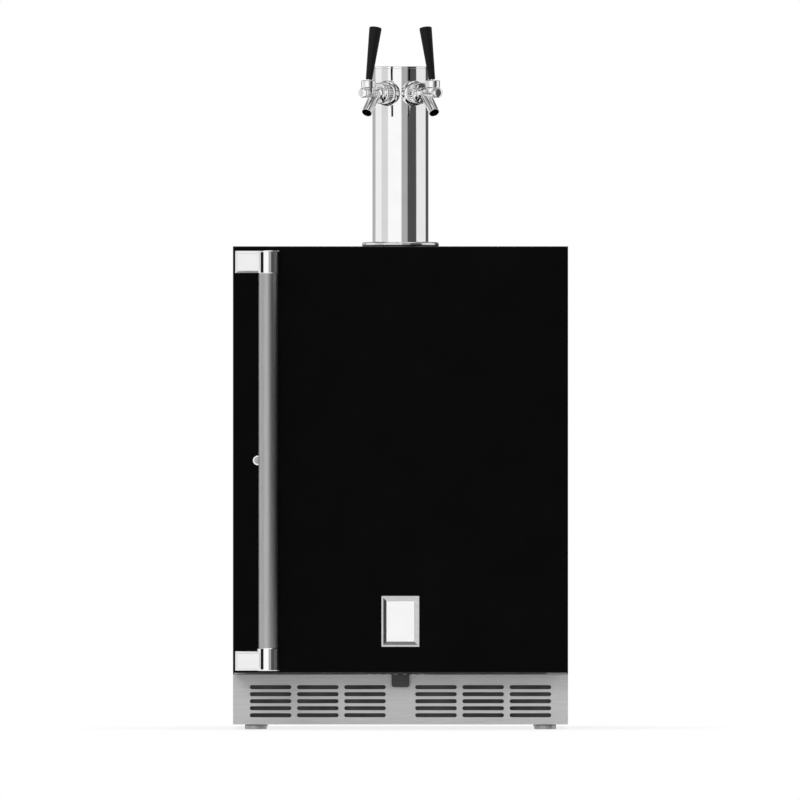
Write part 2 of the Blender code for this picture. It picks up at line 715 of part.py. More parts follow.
def evaporator_set():
    ceiling = LINER_TOP - SEAT_GAP
    half = EVAPORATOR_WIDTH / 2
    coil_top = ceiling - COVER_SHEET - COVER_MARGIN
    coil_y = (LINER_BACK - SEAT_GAP - EVAPORATOR_DEPTH, LINER_BACK - SEAT_GAP)
    coil_z = (coil_top - EVAPORATOR_HEIGHT, coil_top)
    finned_core("evaporator_coil", "aluminium", (-half, half), coil_y, coil_z)
    face = LINER_BACK - COVER_DEPTH
    cover_x = half + COVER_MARGIN
    bottom = coil_top - EVAPORATOR_HEIGHT - COVER_MARGIN
    cover_y = (face, LINER_BACK - SEAT_GAP)
    cover = slab("evaporator_cover", "white_plastic", (-cover_x, cover_x), cover_y, (bottom, ceiling))
    inner_x = cover_x - COVER_SHEET
    inner_y = (face + COVER_SHEET, LINER_BACK + CUT_PAST)
    inner_z = (bottom - CUT_PAST, ceiling - COVER_SHEET)
    cut(cover, slab("evaporator_cover_hollow", None, (-inner_x, inner_x), inner_y, inner_z))
    fan_on_plate("evaporator", cover, 0.0, face, (bottom + ceiling) / 2)


def compressor():
    foot = COMPRESSOR_RADIUS + COMPRESSOR_BASE
    dome = COMPRESSOR_RADIUS / 2
    shoulder = COMPRESSOR_HEIGHT - dome
    profile = [(0.0, COMPRESSOR_HEIGHT)]
    profile += [(COMPRESSOR_RADIUS - dome + x, z) for x, z in arc((0.0, shoulder), dome, 90, 0, 5)]
    profile += [
        (COMPRESSOR_RADIUS, COMPRESSOR_BASE_SHEET),
        (foot, COMPRESSOR_BASE_SHEET),
        (foot, 0.0),
        (0.0, 0.0),
    ]
    place = (foot - COOLER_SIDE, BACK - COMPRESSOR_FROM_BACK - foot, ON_PAN)
    turned("compressor", "black_enamel", profile, segments=WIDE_ROUND // 2, place=place)


def control_housing():
    x_high = LINER_HALF_WIDTH - CONTROL_BEHIND_FRONT
    front = FRONT + CONTROL_BEHIND_FRONT
    top = LINER_TOP - SEAT_GAP
    x = (x_high - CONTROL_WIDTH, x_high)
    slab("control_housing", "grey_plastic", x, (front, front + CONTROL_DEPTH), (top - CONTROL_HEIGHT, top))


def bevel_front(bm, front, width, segments):
    """Bevels the edges round the faces that lie in the plane y = front."""
    edges = [edge for edge in bm.edges if all(abs(vert.co.y - front) < 1e-6 for vert in edge.verts)]
    bmesh.ops.bevel(bm, geom=edges, offset=width, segments=segments, affect="EDGES", profile=0.5, material=-1)


def hinge_bracket(name, arm_z, leg_z, pin_z):
    """A leg on the cabinet's front, an arm that reaches into the door's notch, and the pin of the door."""
    half = HINGE_ARM / 2
    seat = FRONT - SEAT_GAP
    leg_x = (PIN_X + half - HINGE_LEG_WIDTH, PIN_X + half)
    bracket = slab(name, "satin_steel", leg_x, (seat - HINGE_LEG, seat), leg_z)
    outline = [(PIN_X - half, seat - HINGE_LEG / 2)]
    outline += arc((PIN_X, PIN_Y), half, 180, 360, 6)
    outline += [(PIN_X + half, seat - HINGE_LEG / 2)]
    bm = bmesh.new()
    prism_mesh(bm, outline, *arm_z, along="Z")
    weld(bracket, finish_object(f"{name}_arm", bm, None))
    weld(bracket, rod(f"{name}_pin", None, PIN_RADIUS, *pin_z, place=(PIN_X, PIN_Y, 0.0)))


def hinges():
    upper = (DOOR_TOP - HINGE_ARM_DROP - HINGE_PLATE, DOOR_TOP - HINGE_ARM_DROP)
    upper_pin = (upper[0] - PIN_LENGTH, upper[0] + HINGE_PLATE / 2)
    hinge_bracket("upper_hinge_bracket", upper, (UNDER_TOP - HINGE_LEG_HEIGHT, UNDER_TOP), upper_pin)
    lower = (DOOR_BOTTOM + HINGE_ARM_DROP, DOOR_BOTTOM + HINGE_ARM_DROP + HINGE_PLATE)
    lower_pin = (lower[1] - HINGE_PLATE / 2, lower[1] + PIN_LENGTH)
    leg_low = GRILLE_TOP + SEAT_GAP
    hinge_bracket("lower_hinge_bracket", lower, (leg_low, leg_low + HINGE_LEG_HEIGHT), lower_pin)
    pins = []
    for place, (low, high) in (("upper", upper_pin), ("lower", lower_pin)):
        bore = PIN_RADIUS + SEAT_GAP
        pins.append(rod(f"{place}_pin_bore", None, bore, low - SHEET, high + SHEET, place=(PIN_X, PIN_Y, 0.0)))
    x = (PIN_X - HINGE_ARM / 2 - NOTCH_SIDE, HALF_WIDTH + CUT_PAST)
    y = (DOOR_FRONT + NOTCH_LIP, DOOR_BACK + CUT_PAST)
    notches = [
        slab("upper_notch", None, x, y, (DOOR_TOP - NOTCH_DEPTH, DOOR_TOP + CUT_PAST)),
        slab("lower_notch", None, x, y, (DOOR_BOTTOM - CUT_PAST, DOOR_BOTTOM + NOTCH_DEPTH)),
    ]
    return notches, pins


def door_leaf(hinge, notches, pins):
    half_z = (DOOR_TOP - DOOR_BOTTOM) / 2
    half_y = DOOR_THICKNESS / 2
    middle = (0.0, DOOR_FRONT + half_y, DOOR_BOTTOM + half_z)
    bm = bmesh.new()
    box_mesh(bm, (-HALF_WIDTH, HALF_WIDTH), (-half_y, half_y), (-half_z, half_z))
    bevel_front(bm, -half_y, DOOR_EDGE, 3)
    skin = finish_object("door_skin", bm, "black_enamel", middle)
    carry(skin, hinge)
    inner_x = HALF_WIDTH - SHEET
    inner_z = (DOOR_BOTTOM + SHEET, DOOR_TOP - SHEET)
    inner_y = (DOOR_FRONT + SHEET, DOOR_BACK + CUT_PAST)
    hole_place = (LOCK_X, DOOR_BACK + CUT_PAST, LOCK_Z)
    hole_length = DOOR_THICKNESS + 2 * CUT_PAST
    hole_radius = LOCK_BODY_RADIUS + SEAT_GAP
    lock_hole = rod("lock_hole", None, hole_radius, 0.0, hole_length, place=hole_place, turn=FACING_FRONT)
    cut(skin, slab("door_hollow", None, (-inner_x, inner_x), inner_y, inner_z), *notches, lock_hole)
    fill_x = (SEAT_GAP - inner_x, inner_x - SEAT_GAP)
    fill_z = (inner_z[0] + SEAT_GAP, inner_z[1] - SEAT_GAP)
    panel_y = (DOOR_BACK - LINER_SHEET, DOOR_BACK)
    fill_y = (DOOR_FRONT + SHEET + SEAT_GAP, panel_y[0] - SEAT_GAP)
    core = slab("door_core", "foam", fill_x, fill_y, fill_z, hinge)
    cut(core, *notches, *pins, lock_hole)
    panel = slab("door_inner_panel", "white_plastic", fill_x, panel_y, fill_z, hinge)
    cut(panel, *notches, lock_hole)

    outer_x = HALF_WIDTH - GASKET_SIDE_INSET
    outer_z = (KEG_FLOOR - GASKET_BOTTOM_OVERLAP - GASKET_WIDTH, DOOR_TOP - GASKET_TOP_INSET)
    gasket_y = (DOOR_BACK + SEAT_GAP, FRONT - SEAT_GAP)
    gasket = slab("door_gasket", "rubber", (-outer_x, outer_x), gasket_y, outer_z, hinge)
    open_x = outer_x - GASKET_WIDTH
    open_y = (gasket_y[0] - CUT_PAST, gasket_y[1] + CUT_PAST)
    open_z = (outer_z[0] + GASKET_WIDTH, outer_z[1] - GASKET_WIDTH)
    cut(gasket, slab("gasket_opening", None, (-open_x, open_x), open_y, open_z))


def handle_bracket(name, hinge, cap_z, arm_z, socket_z):
    """A chrome foot on the door whose arm ends in a round cap over the bar's end."""
    left = BRACKET_SIDE_INSET - HALF_WIDTH
    right = left + BRACKET_FOOT
    seat = DOOR_FRONT - SEAT_GAP
    front = BAR_Y - BRACKET_FRONT
    inner = BAR_Y + BRACKET_BACK
    edge = BRACKET_EDGE / 4
    cap = [
        (0.0, cap_z[1]),
        (CAP_RADIUS - edge, cap_z[1]),
        (CAP_RADIUS, cap_z[1] - edge),
        (CAP_RADIUS, cap_z[0] + edge),
        (CAP_RADIUS - edge, cap_z[0]),
        (0.0, cap_z[0]),
    ]
    bracket = turned(name, "chrome", cap, segments=CAP_ROUND, place=(BAR_X, BAR_Y, 0.0))
    carry(bracket, hinge)
    outline = [(left, seat), (left, front), (BAR_X, front), (BAR_X, inner), (right, inner), (right, seat)]
    bm = bmesh.new()
    prism_mesh(bm, outline, *arm_z, along="Z")
    bevel_front(bm, front, BRACKET_EDGE, 1)
    weld(bracket, finish_object(f"{name}_arm", bm, None))
    socket = BAR_RADIUS + SEAT_GAP
    cut(bracket, rod(f"{name}_socket", None, socket, *socket_z, BAR_ROUND, (BAR_X, BAR_Y, 0.0)))


def pull_handle(hinge):
    top = DOOR_TOP - BRACKET_TOP_INSET
    bottom = DOOR_BOTTOM + BRACKET_BOTTOM_INSET
    bar_top = top - CAP_END
    bar_bottom = bottom + CAP_END
    upper_cap = (top - CAP_HEIGHT, top)
    upper_socket = (upper_cap[0] - CUT_PAST, bar_top)
    handle_bracket("upper_handle_bracket", hinge, upper_cap, (top - BRACKET_HEIGHT, top), upper_socket)
    lower_cap = (bottom, bottom + CAP_HEIGHT)
    lower_socket = (bar_bottom, lower_cap[1] + CUT_PAST)
    handle_bracket("lower_handle_bracket", hinge, lower_cap, (bottom, bottom + BRACKET_HEIGHT), lower_socket)
    ends = (bar_bottom + SEAT_GAP, bar_top - SEAT_GAP)
    bar = rod("handle_bar", "satin_steel", BAR_RADIUS, *ends, BAR_ROUND, (BAR_X, BAR_Y, 0.0))
    carry(bar, hinge)


def badge(hinge):
    place = (0.0, DOOR_FRONT - SEAT_GAP, DOOR_BOTTOM + BADGE_CENTRE)
    outer = rounded_outline(BADGE_WIDTH, BADGE_HEIGHT, BADGE_CORNER)
    frame = plate("badge_frame", "chrome", outer, (-BADGE_DEPTH, 0.0), place, hinge)
    width = BADGE_WIDTH - 2 * BADGE_RIM
    height = BADGE_HEIGHT - 2 * BADGE_RIM
    corner = BADGE_CORNER / 3
    window = rounded_outline(width, height, corner)
    cut(frame, plate("badge_window", None, window, (-BADGE_DEPTH - CUT_PAST, CUT_PAST), place))
    inside = rounded_outline(width - 2 * SEAT_GAP, height - 2 * SEAT_GAP, corner)
    plate("badge_plate", "white_enamel", inside, (-BADGE_PLATE_DEPTH, 0.0), place, hinge)


def door_lock(hinge):
    place = (LOCK_X, DOOR_FRONT - SEAT_GAP, LOCK_Z)
    axis = axis_empty("lock_axis", place)
    carry(axis, hinge)
    bore = PLUG_RADIUS + SEAT_GAP
    barrel = [
        (bore, LOCK_HEAD),
        (LOCK_HEAD_RADIUS, LOCK_HEAD),
        (LOCK_HEAD_RADIUS, 0.0),
        (LOCK_BODY_RADIUS, 0.0),
        (LOCK_BODY_RADIUS, -DOOR_THICKNESS),
        (bore, -DOOR_THICKNESS),
    ]
    carry(turned("lock_barrel", "chrome", barrel, ring=True, place=place, turn=FACING_FRONT), hinge)
    cam_y = DOOR_BACK + CAM_BEHIND_DOOR
    plug_back = place[1] - cam_y - CAM_THICKNESS / 2
    plug = rod("lock_plug", "satin_steel", PLUG_RADIUS, plug_back, PLUG_PROUD, place=place, turn=FACING_FRONT)
    carry(plug, axis)
    half = CAM_WIDTH / 2
    cam_x = (LOCK_X - half, LOCK_X + CAM_LENGTH)
    weld(plug, slab("lock_cam", None, cam_x, (cam_y, cam_y + CAM_THICKNESS), (LOCK_Z - half, LOCK_Z + half)))
    slot_x = (LOCK_X - KEY_SLOT_WIDTH / 2, LOCK_X + KEY_SLOT_WIDTH / 2)
    slot_z = (LOCK_Z - KEY_SLOT_LENGTH / 2, LOCK_Z + KEY_SLOT_LENGTH / 2)
    face = place[1] - PLUG_PROUD
    cut(plug, slab("key_slot", None, slot_x, (face - CUT_PAST, face + KEY_SLOT_DEPTH), slot_z))

    # The keeper is a hook on the cabinet, open to the right, that the cam swings up behind.
    left = LOCK_X - half - KEEPER_SIDE
    z = (LOCK_Z + KEEPER_START, LOCK_Z + KEEPER_START + KEEPER_LENGTH)
    y = (DOOR_BACK + KEEPER_DOOR_GAP, FRONT - SEAT_GAP)
    keeper = slab("lock_keeper", "satin_steel", (left - KEEPER_SHEET, LOCK_X + half), y, z)
    mouth_y = (y[0] + KEEPER_SHEET, y[1] - KEEPER_SHEET)
    mouth_z = (z[0] - CUT_PAST, z[1] + CUT_PAST)
    cut(keeper, slab("keeper_mouth", None, (left, LOCK_X + half + CUT_PAST), mouth_y, mouth_z))


def tower():
    place = (0.0, TOWER_Y, TOWER_BASE)
    seat = COLUMN_RADIUS + SEAT_GAP
    flange = [
        (seat, FLANGE_HEIGHT),
        (seat + FLANGE_RIM, FLANGE_HEIGHT),
        (FLANGE_RADIUS, FLANGE_RIM),
        (FLANGE_RADIUS, 0.0),
        (COLUMN_RADIUS - FLANGE_LEDGE, 0.0),
        (COLUMN_RADIUS - FLANGE_LEDGE, FLANGE_FLOOR),
        (seat, FLANGE_FLOOR),
    ]
    turned("tower_flange", "chrome", flange, ring=True, segments=WIDE_ROUND, place=place)
    inner = COLUMN_RADIUS - COLUMN_WALL
    low = FLANGE_FLOOR + SEAT_GAP
    high = TOWER_HEIGHT - TOWER_CAP - SEAT_GAP
    tube = [(COLUMN_RADIUS, high), (COLUMN_RADIUS, low), (inner, low), (inner, high)]
    column = turned("tower_column", "chrome", tube, ring=True, segments=WIDE_ROUND, place=place)
    spigot = inner - SEAT_GAP
    under = TOWER_HEIGHT - TOWER_CAP
    cap = [
        (0.0, TOWER_HEIGHT),
        (COLUMN_RADIUS - TOWER_CAP_EDGE, TOWER_HEIGHT),
        (COLUMN_RADIUS, TOWER_HEIGHT - TOWER_CAP_EDGE),
        (COLUMN_RADIUS, under),
        (spigot, under),
        (spigot, under - TOWER_CAP_SPIGOT),
        (0.0, under - TOWER_CAP_SPIGOT),
    ]
    turned("tower_cap", "chrome", cap, segments=WIDE_ROUND, place=place)
    outside = rod("column_outside", None, seat, 0.0, TOWER_HEIGHT + CUT_PAST, WIDE_ROUND, place)
    return column, outside


def in_frame(obj, frame):
    """Puts a piece that was made in a tap's own frame into that frame."""
    obj.parent = frame
    return obj


def tap_mounting(side, frame, column, outside):
    """What fixes a tap to the column: shank and lock nut, escutcheon and coupling nut."""
    column_bore = SHANK_RADIUS + SEAT_GAP
    hole = rod(f"shank_hole_{side}", None, column_bore, 0.0, NUT_START, turn=FACING_FRONT)
    cut(column, in_frame(hole, frame))
    nut_face = math.sqrt((COLUMN_RADIUS - COLUMN_WALL) ** 2 - LOCK_NUT_RADIUS**2) - SEAT_GAP
    nut_back = nut_face - LOCK_NUT_LENGTH
    tail = nut_back - SHANK_TAIL
    shank = [
        (SHANK_BORE, SHANK_END),
        (SHANK_RADIUS, SHANK_END),
        (SHANK_RADIUS, nut_face),
        (LOCK_NUT_RADIUS, nut_face),
        (LOCK_NUT_RADIUS, nut_back),
        (SHANK_TAIL_RADIUS, nut_back),
        (SHANK_TAIL_RADIUS, tail),
        (SHANK_BORE, tail),
    ]
    in_frame(turned(f"tap_shank_{side}", "brass", shank, ring=True, turn=FACING_FRONT), frame)

    front = COLUMN_RADIUS + ESCUTCHEON_PROUD
    back = math.sqrt(COLUMN_RADIUS**2 - ESCUTCHEON_RADIUS**2) - ESCUTCHEON_EDGE
    centre = (ESCUTCHEON_RADIUS - ESCUTCHEON_EDGE, front - ESCUTCHEON_EDGE)
    rim = [(column_bore, front), *arc(centre, ESCUTCHEON_EDGE, 90, 0, 3)]
    rim += [(ESCUTCHEON_RADIUS, back), (column_bore, back)]
    escutcheon = turned(f"escutcheon_{side}", "chrome", rim, ring=True, segments=DISC_ROUND, turn=FACING_FRONT)
    cut(in_frame(escutcheon, frame), outside)

    nut = [
        (column_bore, NUT_END),
        (NUT_RADIUS - NUT_EDGE, NUT_END),
        (NUT_RADIUS, NUT_END - NUT_EDGE),
        (NUT_RADIUS, NUT_START + NUT_EDGE),
        (NUT_RADIUS - NUT_EDGE, NUT_START),
        (column_bore, NUT_START),
    ]
    in_frame(turned(f"coupling_nut_{side}", "chrome", nut, ring=True, turn=FACING_FRONT), frame)


def faucet_body(side, frame):
    """A barrel with a lever boss on top and a sloping spout, bored for the valve, the lever and the beer."""
    barrel = [
        (0.0, BARREL_END),
        (BARREL_RADIUS, BARREL_END),
        (BARREL_RADIUS, NUT_END),
        (SHANK_RADIUS, NUT_END),
        (SHANK_RADIUS, BARREL_START),
        (0.0, BARREL_START),
    ]
    body = turned(f"faucet_body_{side}", "chrome", barrel, turn=FACING_FRONT)
    over_pivot = (0.0, -PIVOT_OUT, 0.0)
    boss = rod(f"lever_boss_{side}", None, BOSS_RADIUS, 0.0, BOSS_TOP, place=over_pivot)
    slope = math.atan2(SPOUT_DROP, SPOUT_REACH)
    length = math.hypot(SPOUT_DROP, SPOUT_REACH)
    down = (math.radians(90) + slope, 0.0, 0.0)
    root = (0.0, SPOUT_ROOT_BEHIND_PIVOT - PIVOT_OUT, 0.0)
    spout = rod(f"spout_{side}", None, SPOUT_RADIUS, 0.0, length, place=root, turn=down)
    weld(in_frame(body, frame), in_frame(boss, frame), in_frame(spout, frame))
    rear = (BARREL_START - CUT_PAST, VALVE_SEAT)
    fore = (VALVE_SEAT - SHEET, BARREL_END + CUT_PAST)
    bores = [
        rod(f"rear_chamber_{side}", None, REAR_CHAMBER, *rear, turn=FACING_FRONT),
        rod(f"front_chamber_{side}", None, FRONT_CHAMBER, *fore, turn=FACING_FRONT),
        rod(f"lever_bore_{side}", None, LEVER_BORE, -TIP_RADIUS / 2, BOSS_TOP + CUT_PAST, place=over_pivot),
        rod(f"spout_bore_{side}", None, SPOUT_BORE, 0.0, length + CUT_PAST, place=root, turn=down),
    ]
    # The EXACT solver leaves these crossing bores open, and MANIFOLD closes them.
    cut(body, *[in_frame(bore, frame) for bore in bores], solver="MANIFOLD")

    seat = BARREL_END + SEAT_GAP
    neck_end = seat + FRONT_NECK
    end = neck_end + FRONT_CAP
    spigot = FRONT_CHAMBER - SEAT_GAP
    edge = FRONT_CAP / 5
    cap = [
        (0.0, end),
        (FRONT_CAP_RADIUS - edge, end),
        (FRONT_CAP_RADIUS, end - edge),
        (FRONT_CAP_RADIUS, neck_end),
        (FRONT_NECK_RADIUS, neck_end),
        (FRONT_NECK_RADIUS, seat),
        (spigot, seat),
        (spigot, BARREL_END - FRONT_SPIGOT),
        (0.0, BARREL_END - FRONT_SPIGOT),
    ]
    in_frame(turned(f"faucet_cap_{side}", "chrome", cap, turn=FACING_FRONT), frame)


def valve_shaft(side, frame):
    """A shaft that the lever's tip pushes back, so that its disc leaves the seat and beer flows."""
    play = TIP_RADIUS + TIP_PLAY
    head = FRONT_CHAMBER - VALVE_CLEARANCE
    disc = REAR_CHAMBER - VALVE_CLEARANCE
    disc_front = VALVE_SEAT - VALVE_CLEARANCE
    head_back = TIP_OUT - play - VALVE_HEAD_WALL
    head_front = TIP_OUT + play + VALVE_HEAD_WALL
    profile = [
        (0.0, head_front),
        (head, head_front),
        (head, head_back),
        (VALVE_STEM, head_back),
        (VALVE_STEM, disc_front),
        (disc, disc_front),
        (disc, disc_front - VALVE_DISC),
        (0.0, disc_front - VALVE_DISC),
    ]
    shaft = in_frame(turned(f"valve_shaft_{side}", "satin_steel", profile, turn=FACING_FRONT), frame)
    slot_y = (-TIP_OUT - play, -TIP_OUT + play)
    slot = slab(f"tip_slot_{side}", None, (-CUT_PAST, CUT_PAST), slot_y, (-play, CUT_PAST))
    # The head is flat on top, level with the tip, so that the leaning arm clears it.
    flat_y = (-head_front - CUT_PAST, -head_back)
    flat = slab(f"head_flat_{side}", None, (-CUT_PAST, CUT_PAST), flat_y, (TIP_RADIUS, CUT_PAST))
    cut(shaft, in_frame(slot, frame), in_frame(flat, frame))


def lever_collar(side, frame):
    """Holds the lever's ball down on the faucet, with room for the lever to swing both ways."""
    tilt = max(LEVER_LEAN, LEVER_PULL - LEVER_LEAN)
    slope = math.tan(tilt)
    bottom = BOSS_TOP + SEAT_GAP - PIVOT_HEIGHT
    mouth = LEVER_STEM / math.cos(tilt) + SWING_CLEARANCE
    skirt = LEVER_ARM / math.cos(tilt) + SWING_CLEARANCE - bottom * slope
    seat = BALL_RADIUS + SEAT_GAP
    # The round ball seat ends where it meets the cone that the stem swings in.
    square = 1 + slope**2
    meet = (math.sqrt(square * seat**2 - mouth**2) - slope * mouth) / square
    meet_angle = math.degrees(math.asin(meet / seat))
    profile = [
        (mouth + slope * COLLAR_TOP, COLLAR_TOP),
        (COLLAR_RADIUS - COLLAR_EDGE, COLLAR_TOP),
        (COLLAR_RADIUS, COLLAR_TOP - COLLAR_EDGE),
        (COLLAR_RADIUS, bottom),
        (skirt, bottom),
        (skirt, bottom / 2),
        *arc((0.0, 0.0), seat, 0, meet_angle, 3),
    ]
    place = (0.0, -PIVOT_OUT, PIVOT_HEIGHT)
    in_frame(turned(f"lever_collar_{side}", "chrome", profile, ring=True, place=place), frame)


def tap_lever(side, frame):
    lean = (-LEVER_LEAN, 0.0, 0.0)
    pivot = axis_empty(f"lever_pivot_{side}", (0.0, -PIVOT_OUT, PIVOT_HEIGHT), frame, lean)
    stem_end = HANDLE_START + LEVER_IN_HANDLE
    stem_angle = math.degrees(math.acos(LEVER_STEM / BALL_RADIUS))
    arm_angle = -math.degrees(math.acos(LEVER_ARM / BALL_RADIUS))
    tip_angle = math.degrees(math.acos(LEVER_ARM / TIP_RADIUS))
    profile = [(0.0, stem_end), (LEVER_STEM, stem_end)]
    profile += arc((0.0, 0.0), BALL_RADIUS, stem_angle, arm_angle, 6)
    profile += arc((0.0, -PIVOT_HEIGHT), TIP_RADIUS, tip_angle, -60, 3)
    profile += [(0.0, -PIVOT_HEIGHT - TIP_RADIUS)]
    in_frame(turned(f"tap_lever_{side}", "chrome", profile, segments=LEVER_ROUND), pivot)
    top = HANDLE_START + HANDLE_LENGTH
    bore = LEVER_STEM + SEAT_GAP
    handle = [
        (0.0, top),
        (HANDLE_TOP_RADIUS - HANDLE_EDGE, top),
        (HANDLE_TOP_RADIUS, top - HANDLE_EDGE),
        (HANDLE_FOOT_RADIUS, HANDLE_START),
        (bore, HANDLE_START),
        (bore, stem_end + SEAT_GAP),
        (0.0, stem_end + SEAT_GAP),
    ]
    in_frame(turned(f"tap_handle_{side}", "black_plastic", handle), pivot)


def taps(column, outside):
    for side, way in (("left", -1), ("right", 1)):
        frame = axis_empty(f"tap_frame_{side}", (0.0, TOWER_Y, FAUCET_Z), turn=(0.0, 0.0, way * TAP_TURN))
        tap_mounting(side, frame, column, outside)
        faucet_body(side, frame)
        valve_shaft(side, frame)
        lever_collar(side, frame)
        tap_lever(side, frame)


def kegerator():
    clear_scene()
    hole_z = (LINER_TOP - CUT_PAST, CABINET_TOP + CUT_PAST)
    line_hole = rod("line_hole", None, LINE_HOLE_RADIUS, *hole_z, place=(0.0, TOWER_Y, 0.0))
    cabinet_panels(line_hole)
    insulated_body(line_hole)
    base_and_feet()
    kick_grille()
    mains_inlet()
    condenser_set()
    evaporator_set()
    compressor()
    control_housing()
    hinge = axis_empty("door_hinge", (PIN_X, PIN_Y, DOOR_BOTTOM))
    door_leaf(hinge, *hinges())
    pull_handle(hinge)
    badge(hinge)
    door_lock(hinge)
    taps(*tower())


kegerator()
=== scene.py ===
"""The look of a two-tap kegerator: its finishes, fine metalwork, studio and camera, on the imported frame."""

import json
import math

import bmesh
import bpy
from mathutils import Matrix, Vector

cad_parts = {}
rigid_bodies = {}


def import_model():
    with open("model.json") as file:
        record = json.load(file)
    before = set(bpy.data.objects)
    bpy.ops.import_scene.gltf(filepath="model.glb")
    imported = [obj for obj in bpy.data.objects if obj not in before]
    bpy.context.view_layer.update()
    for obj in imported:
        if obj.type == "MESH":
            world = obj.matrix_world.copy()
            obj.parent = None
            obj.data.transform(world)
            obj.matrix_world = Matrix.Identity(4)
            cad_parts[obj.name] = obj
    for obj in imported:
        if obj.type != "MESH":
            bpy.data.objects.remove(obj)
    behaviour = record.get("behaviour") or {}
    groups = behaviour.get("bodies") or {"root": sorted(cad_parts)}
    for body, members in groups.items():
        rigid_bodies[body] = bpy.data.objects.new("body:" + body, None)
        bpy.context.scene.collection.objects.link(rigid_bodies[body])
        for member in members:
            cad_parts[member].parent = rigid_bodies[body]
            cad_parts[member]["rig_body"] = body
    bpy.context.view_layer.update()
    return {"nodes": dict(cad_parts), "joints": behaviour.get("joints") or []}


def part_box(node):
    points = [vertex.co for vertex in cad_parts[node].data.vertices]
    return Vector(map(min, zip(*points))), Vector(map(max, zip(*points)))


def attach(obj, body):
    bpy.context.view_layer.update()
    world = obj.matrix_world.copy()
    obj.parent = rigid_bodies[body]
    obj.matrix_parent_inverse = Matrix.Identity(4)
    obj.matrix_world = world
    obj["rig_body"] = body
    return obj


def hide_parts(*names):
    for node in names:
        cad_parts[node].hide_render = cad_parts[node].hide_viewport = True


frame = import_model()

# Lengths are in metres, and bare angles in degrees unless a comment says radians.
# Points closer than MERGE become one, and FIT is the gap between pieces that go together.
MERGE = 1e-6
SMOOTH_ANGLE = 38.0
CORNER_ANGLE = 25.0
FLAT_ANGLE = 0.5
FIT = 0.0003

# Segments of a full turn, and steps of a rounded edge
FINE_ROUND = 96
SMALL_ROUND = 64
ARC_STEPS = 6
SHORT_ARC_STEPS = 4

UPRIGHT = Matrix.Identity(4)
FACING_FRONT = Matrix.Rotation(math.radians(90), 4, "X")
FACING_BACK = Matrix.Rotation(math.radians(-90), 4, "X")
OUTWARDS = Matrix.Rotation(math.radians(90), 4, "Y")

JOINTS = {joint["name"]: joint for joint in frame["joints"]}


# Shader nodes


def add_node(tree, kind, values=None, **settings):
    """A new shader node, with its settings and the values of its inputs."""
    node = tree.nodes.new(kind)
    for setting, value in settings.items():
        setattr(node, setting, value)
    for socket, value in (values or {}).items():
        node.inputs[socket].default_value = value
    return node


def connect(tree, *joins):
    """Links an output of one node to an input of another, for each join given."""
    for source, output, target, entry in joins:
        tree.links.new(source.outputs[output], target.inputs[entry])


def rgba(shade):
    """The four parts of a colour, from its red, green and blue or from one grey."""
    parts = shade if isinstance(shade, tuple) else (shade, shade, shade)
    return (*parts, 1.0)


# Shared surface effects, as node groups

NOISE_SIZE = 0.002
NOISE_DETAIL = 3.0
NOISE_LOW = 0.3
NOISE_HIGH = 0.7
LINE_STRETCH = 0.02


def noise_group(name, stretch):
    """A group that puts out noise of a given Size as a Height, and as a Value between Low and High."""
    group = bpy.data.node_groups.new(name, "ShaderNodeTree")
    for label, default in (("Size", NOISE_SIZE), ("Low", 0.0), ("High", 1.0)):
        socket = group.interface.new_socket(label, in_out="INPUT", socket_type="NodeSocketFloat")
        socket.default_value = default
    for label in ("Value", "Height"):
        group.interface.new_socket(label, in_out="OUTPUT", socket_type="NodeSocketFloat")
    given = add_node(group, "NodeGroupInput")
    result = add_node(group, "NodeGroupOutput")
    place = add_node(group, "ShaderNodeTexCoord")
    mapping = add_node(group, "ShaderNodeMapping", {"Scale": stretch})
    finer = add_node(group, "ShaderNodeMath", {0: 1.0}, operation="DIVIDE")
    noise = add_node(group, "ShaderNodeTexNoise", {"Detail": NOISE_DETAIL})
    spread = add_node(group, "ShaderNodeMapRange", {"From Min": NOISE_LOW, "From Max": NOISE_HIGH})
    connect(
        group,
        (place, "Object", mapping, "Vector"),
        (mapping, "Vector", noise, "Vector"),
        (given, "Size", finer, 1),
        (finer, "Value", noise, "Scale"),
        (noise, "Fac", spread, "Value"),
        (given, "Low", spread, "To Min"),
        (given, "High", spread, "To Max"),
        (spread, "Result", result, "Value"),
        (noise, "Fac", result, "Height"),
    )
    return group


GRAIN = noise_group("grain", (1.0, 1.0, 1.0))
BRUSHED_ACROSS = noise_group("brushed_across", (LINE_STRETCH, 1.0, 1.0))
BRUSHED_UPWARDS = noise_group("brushed_upwards", (1.0, 1.0, LINE_STRETCH))


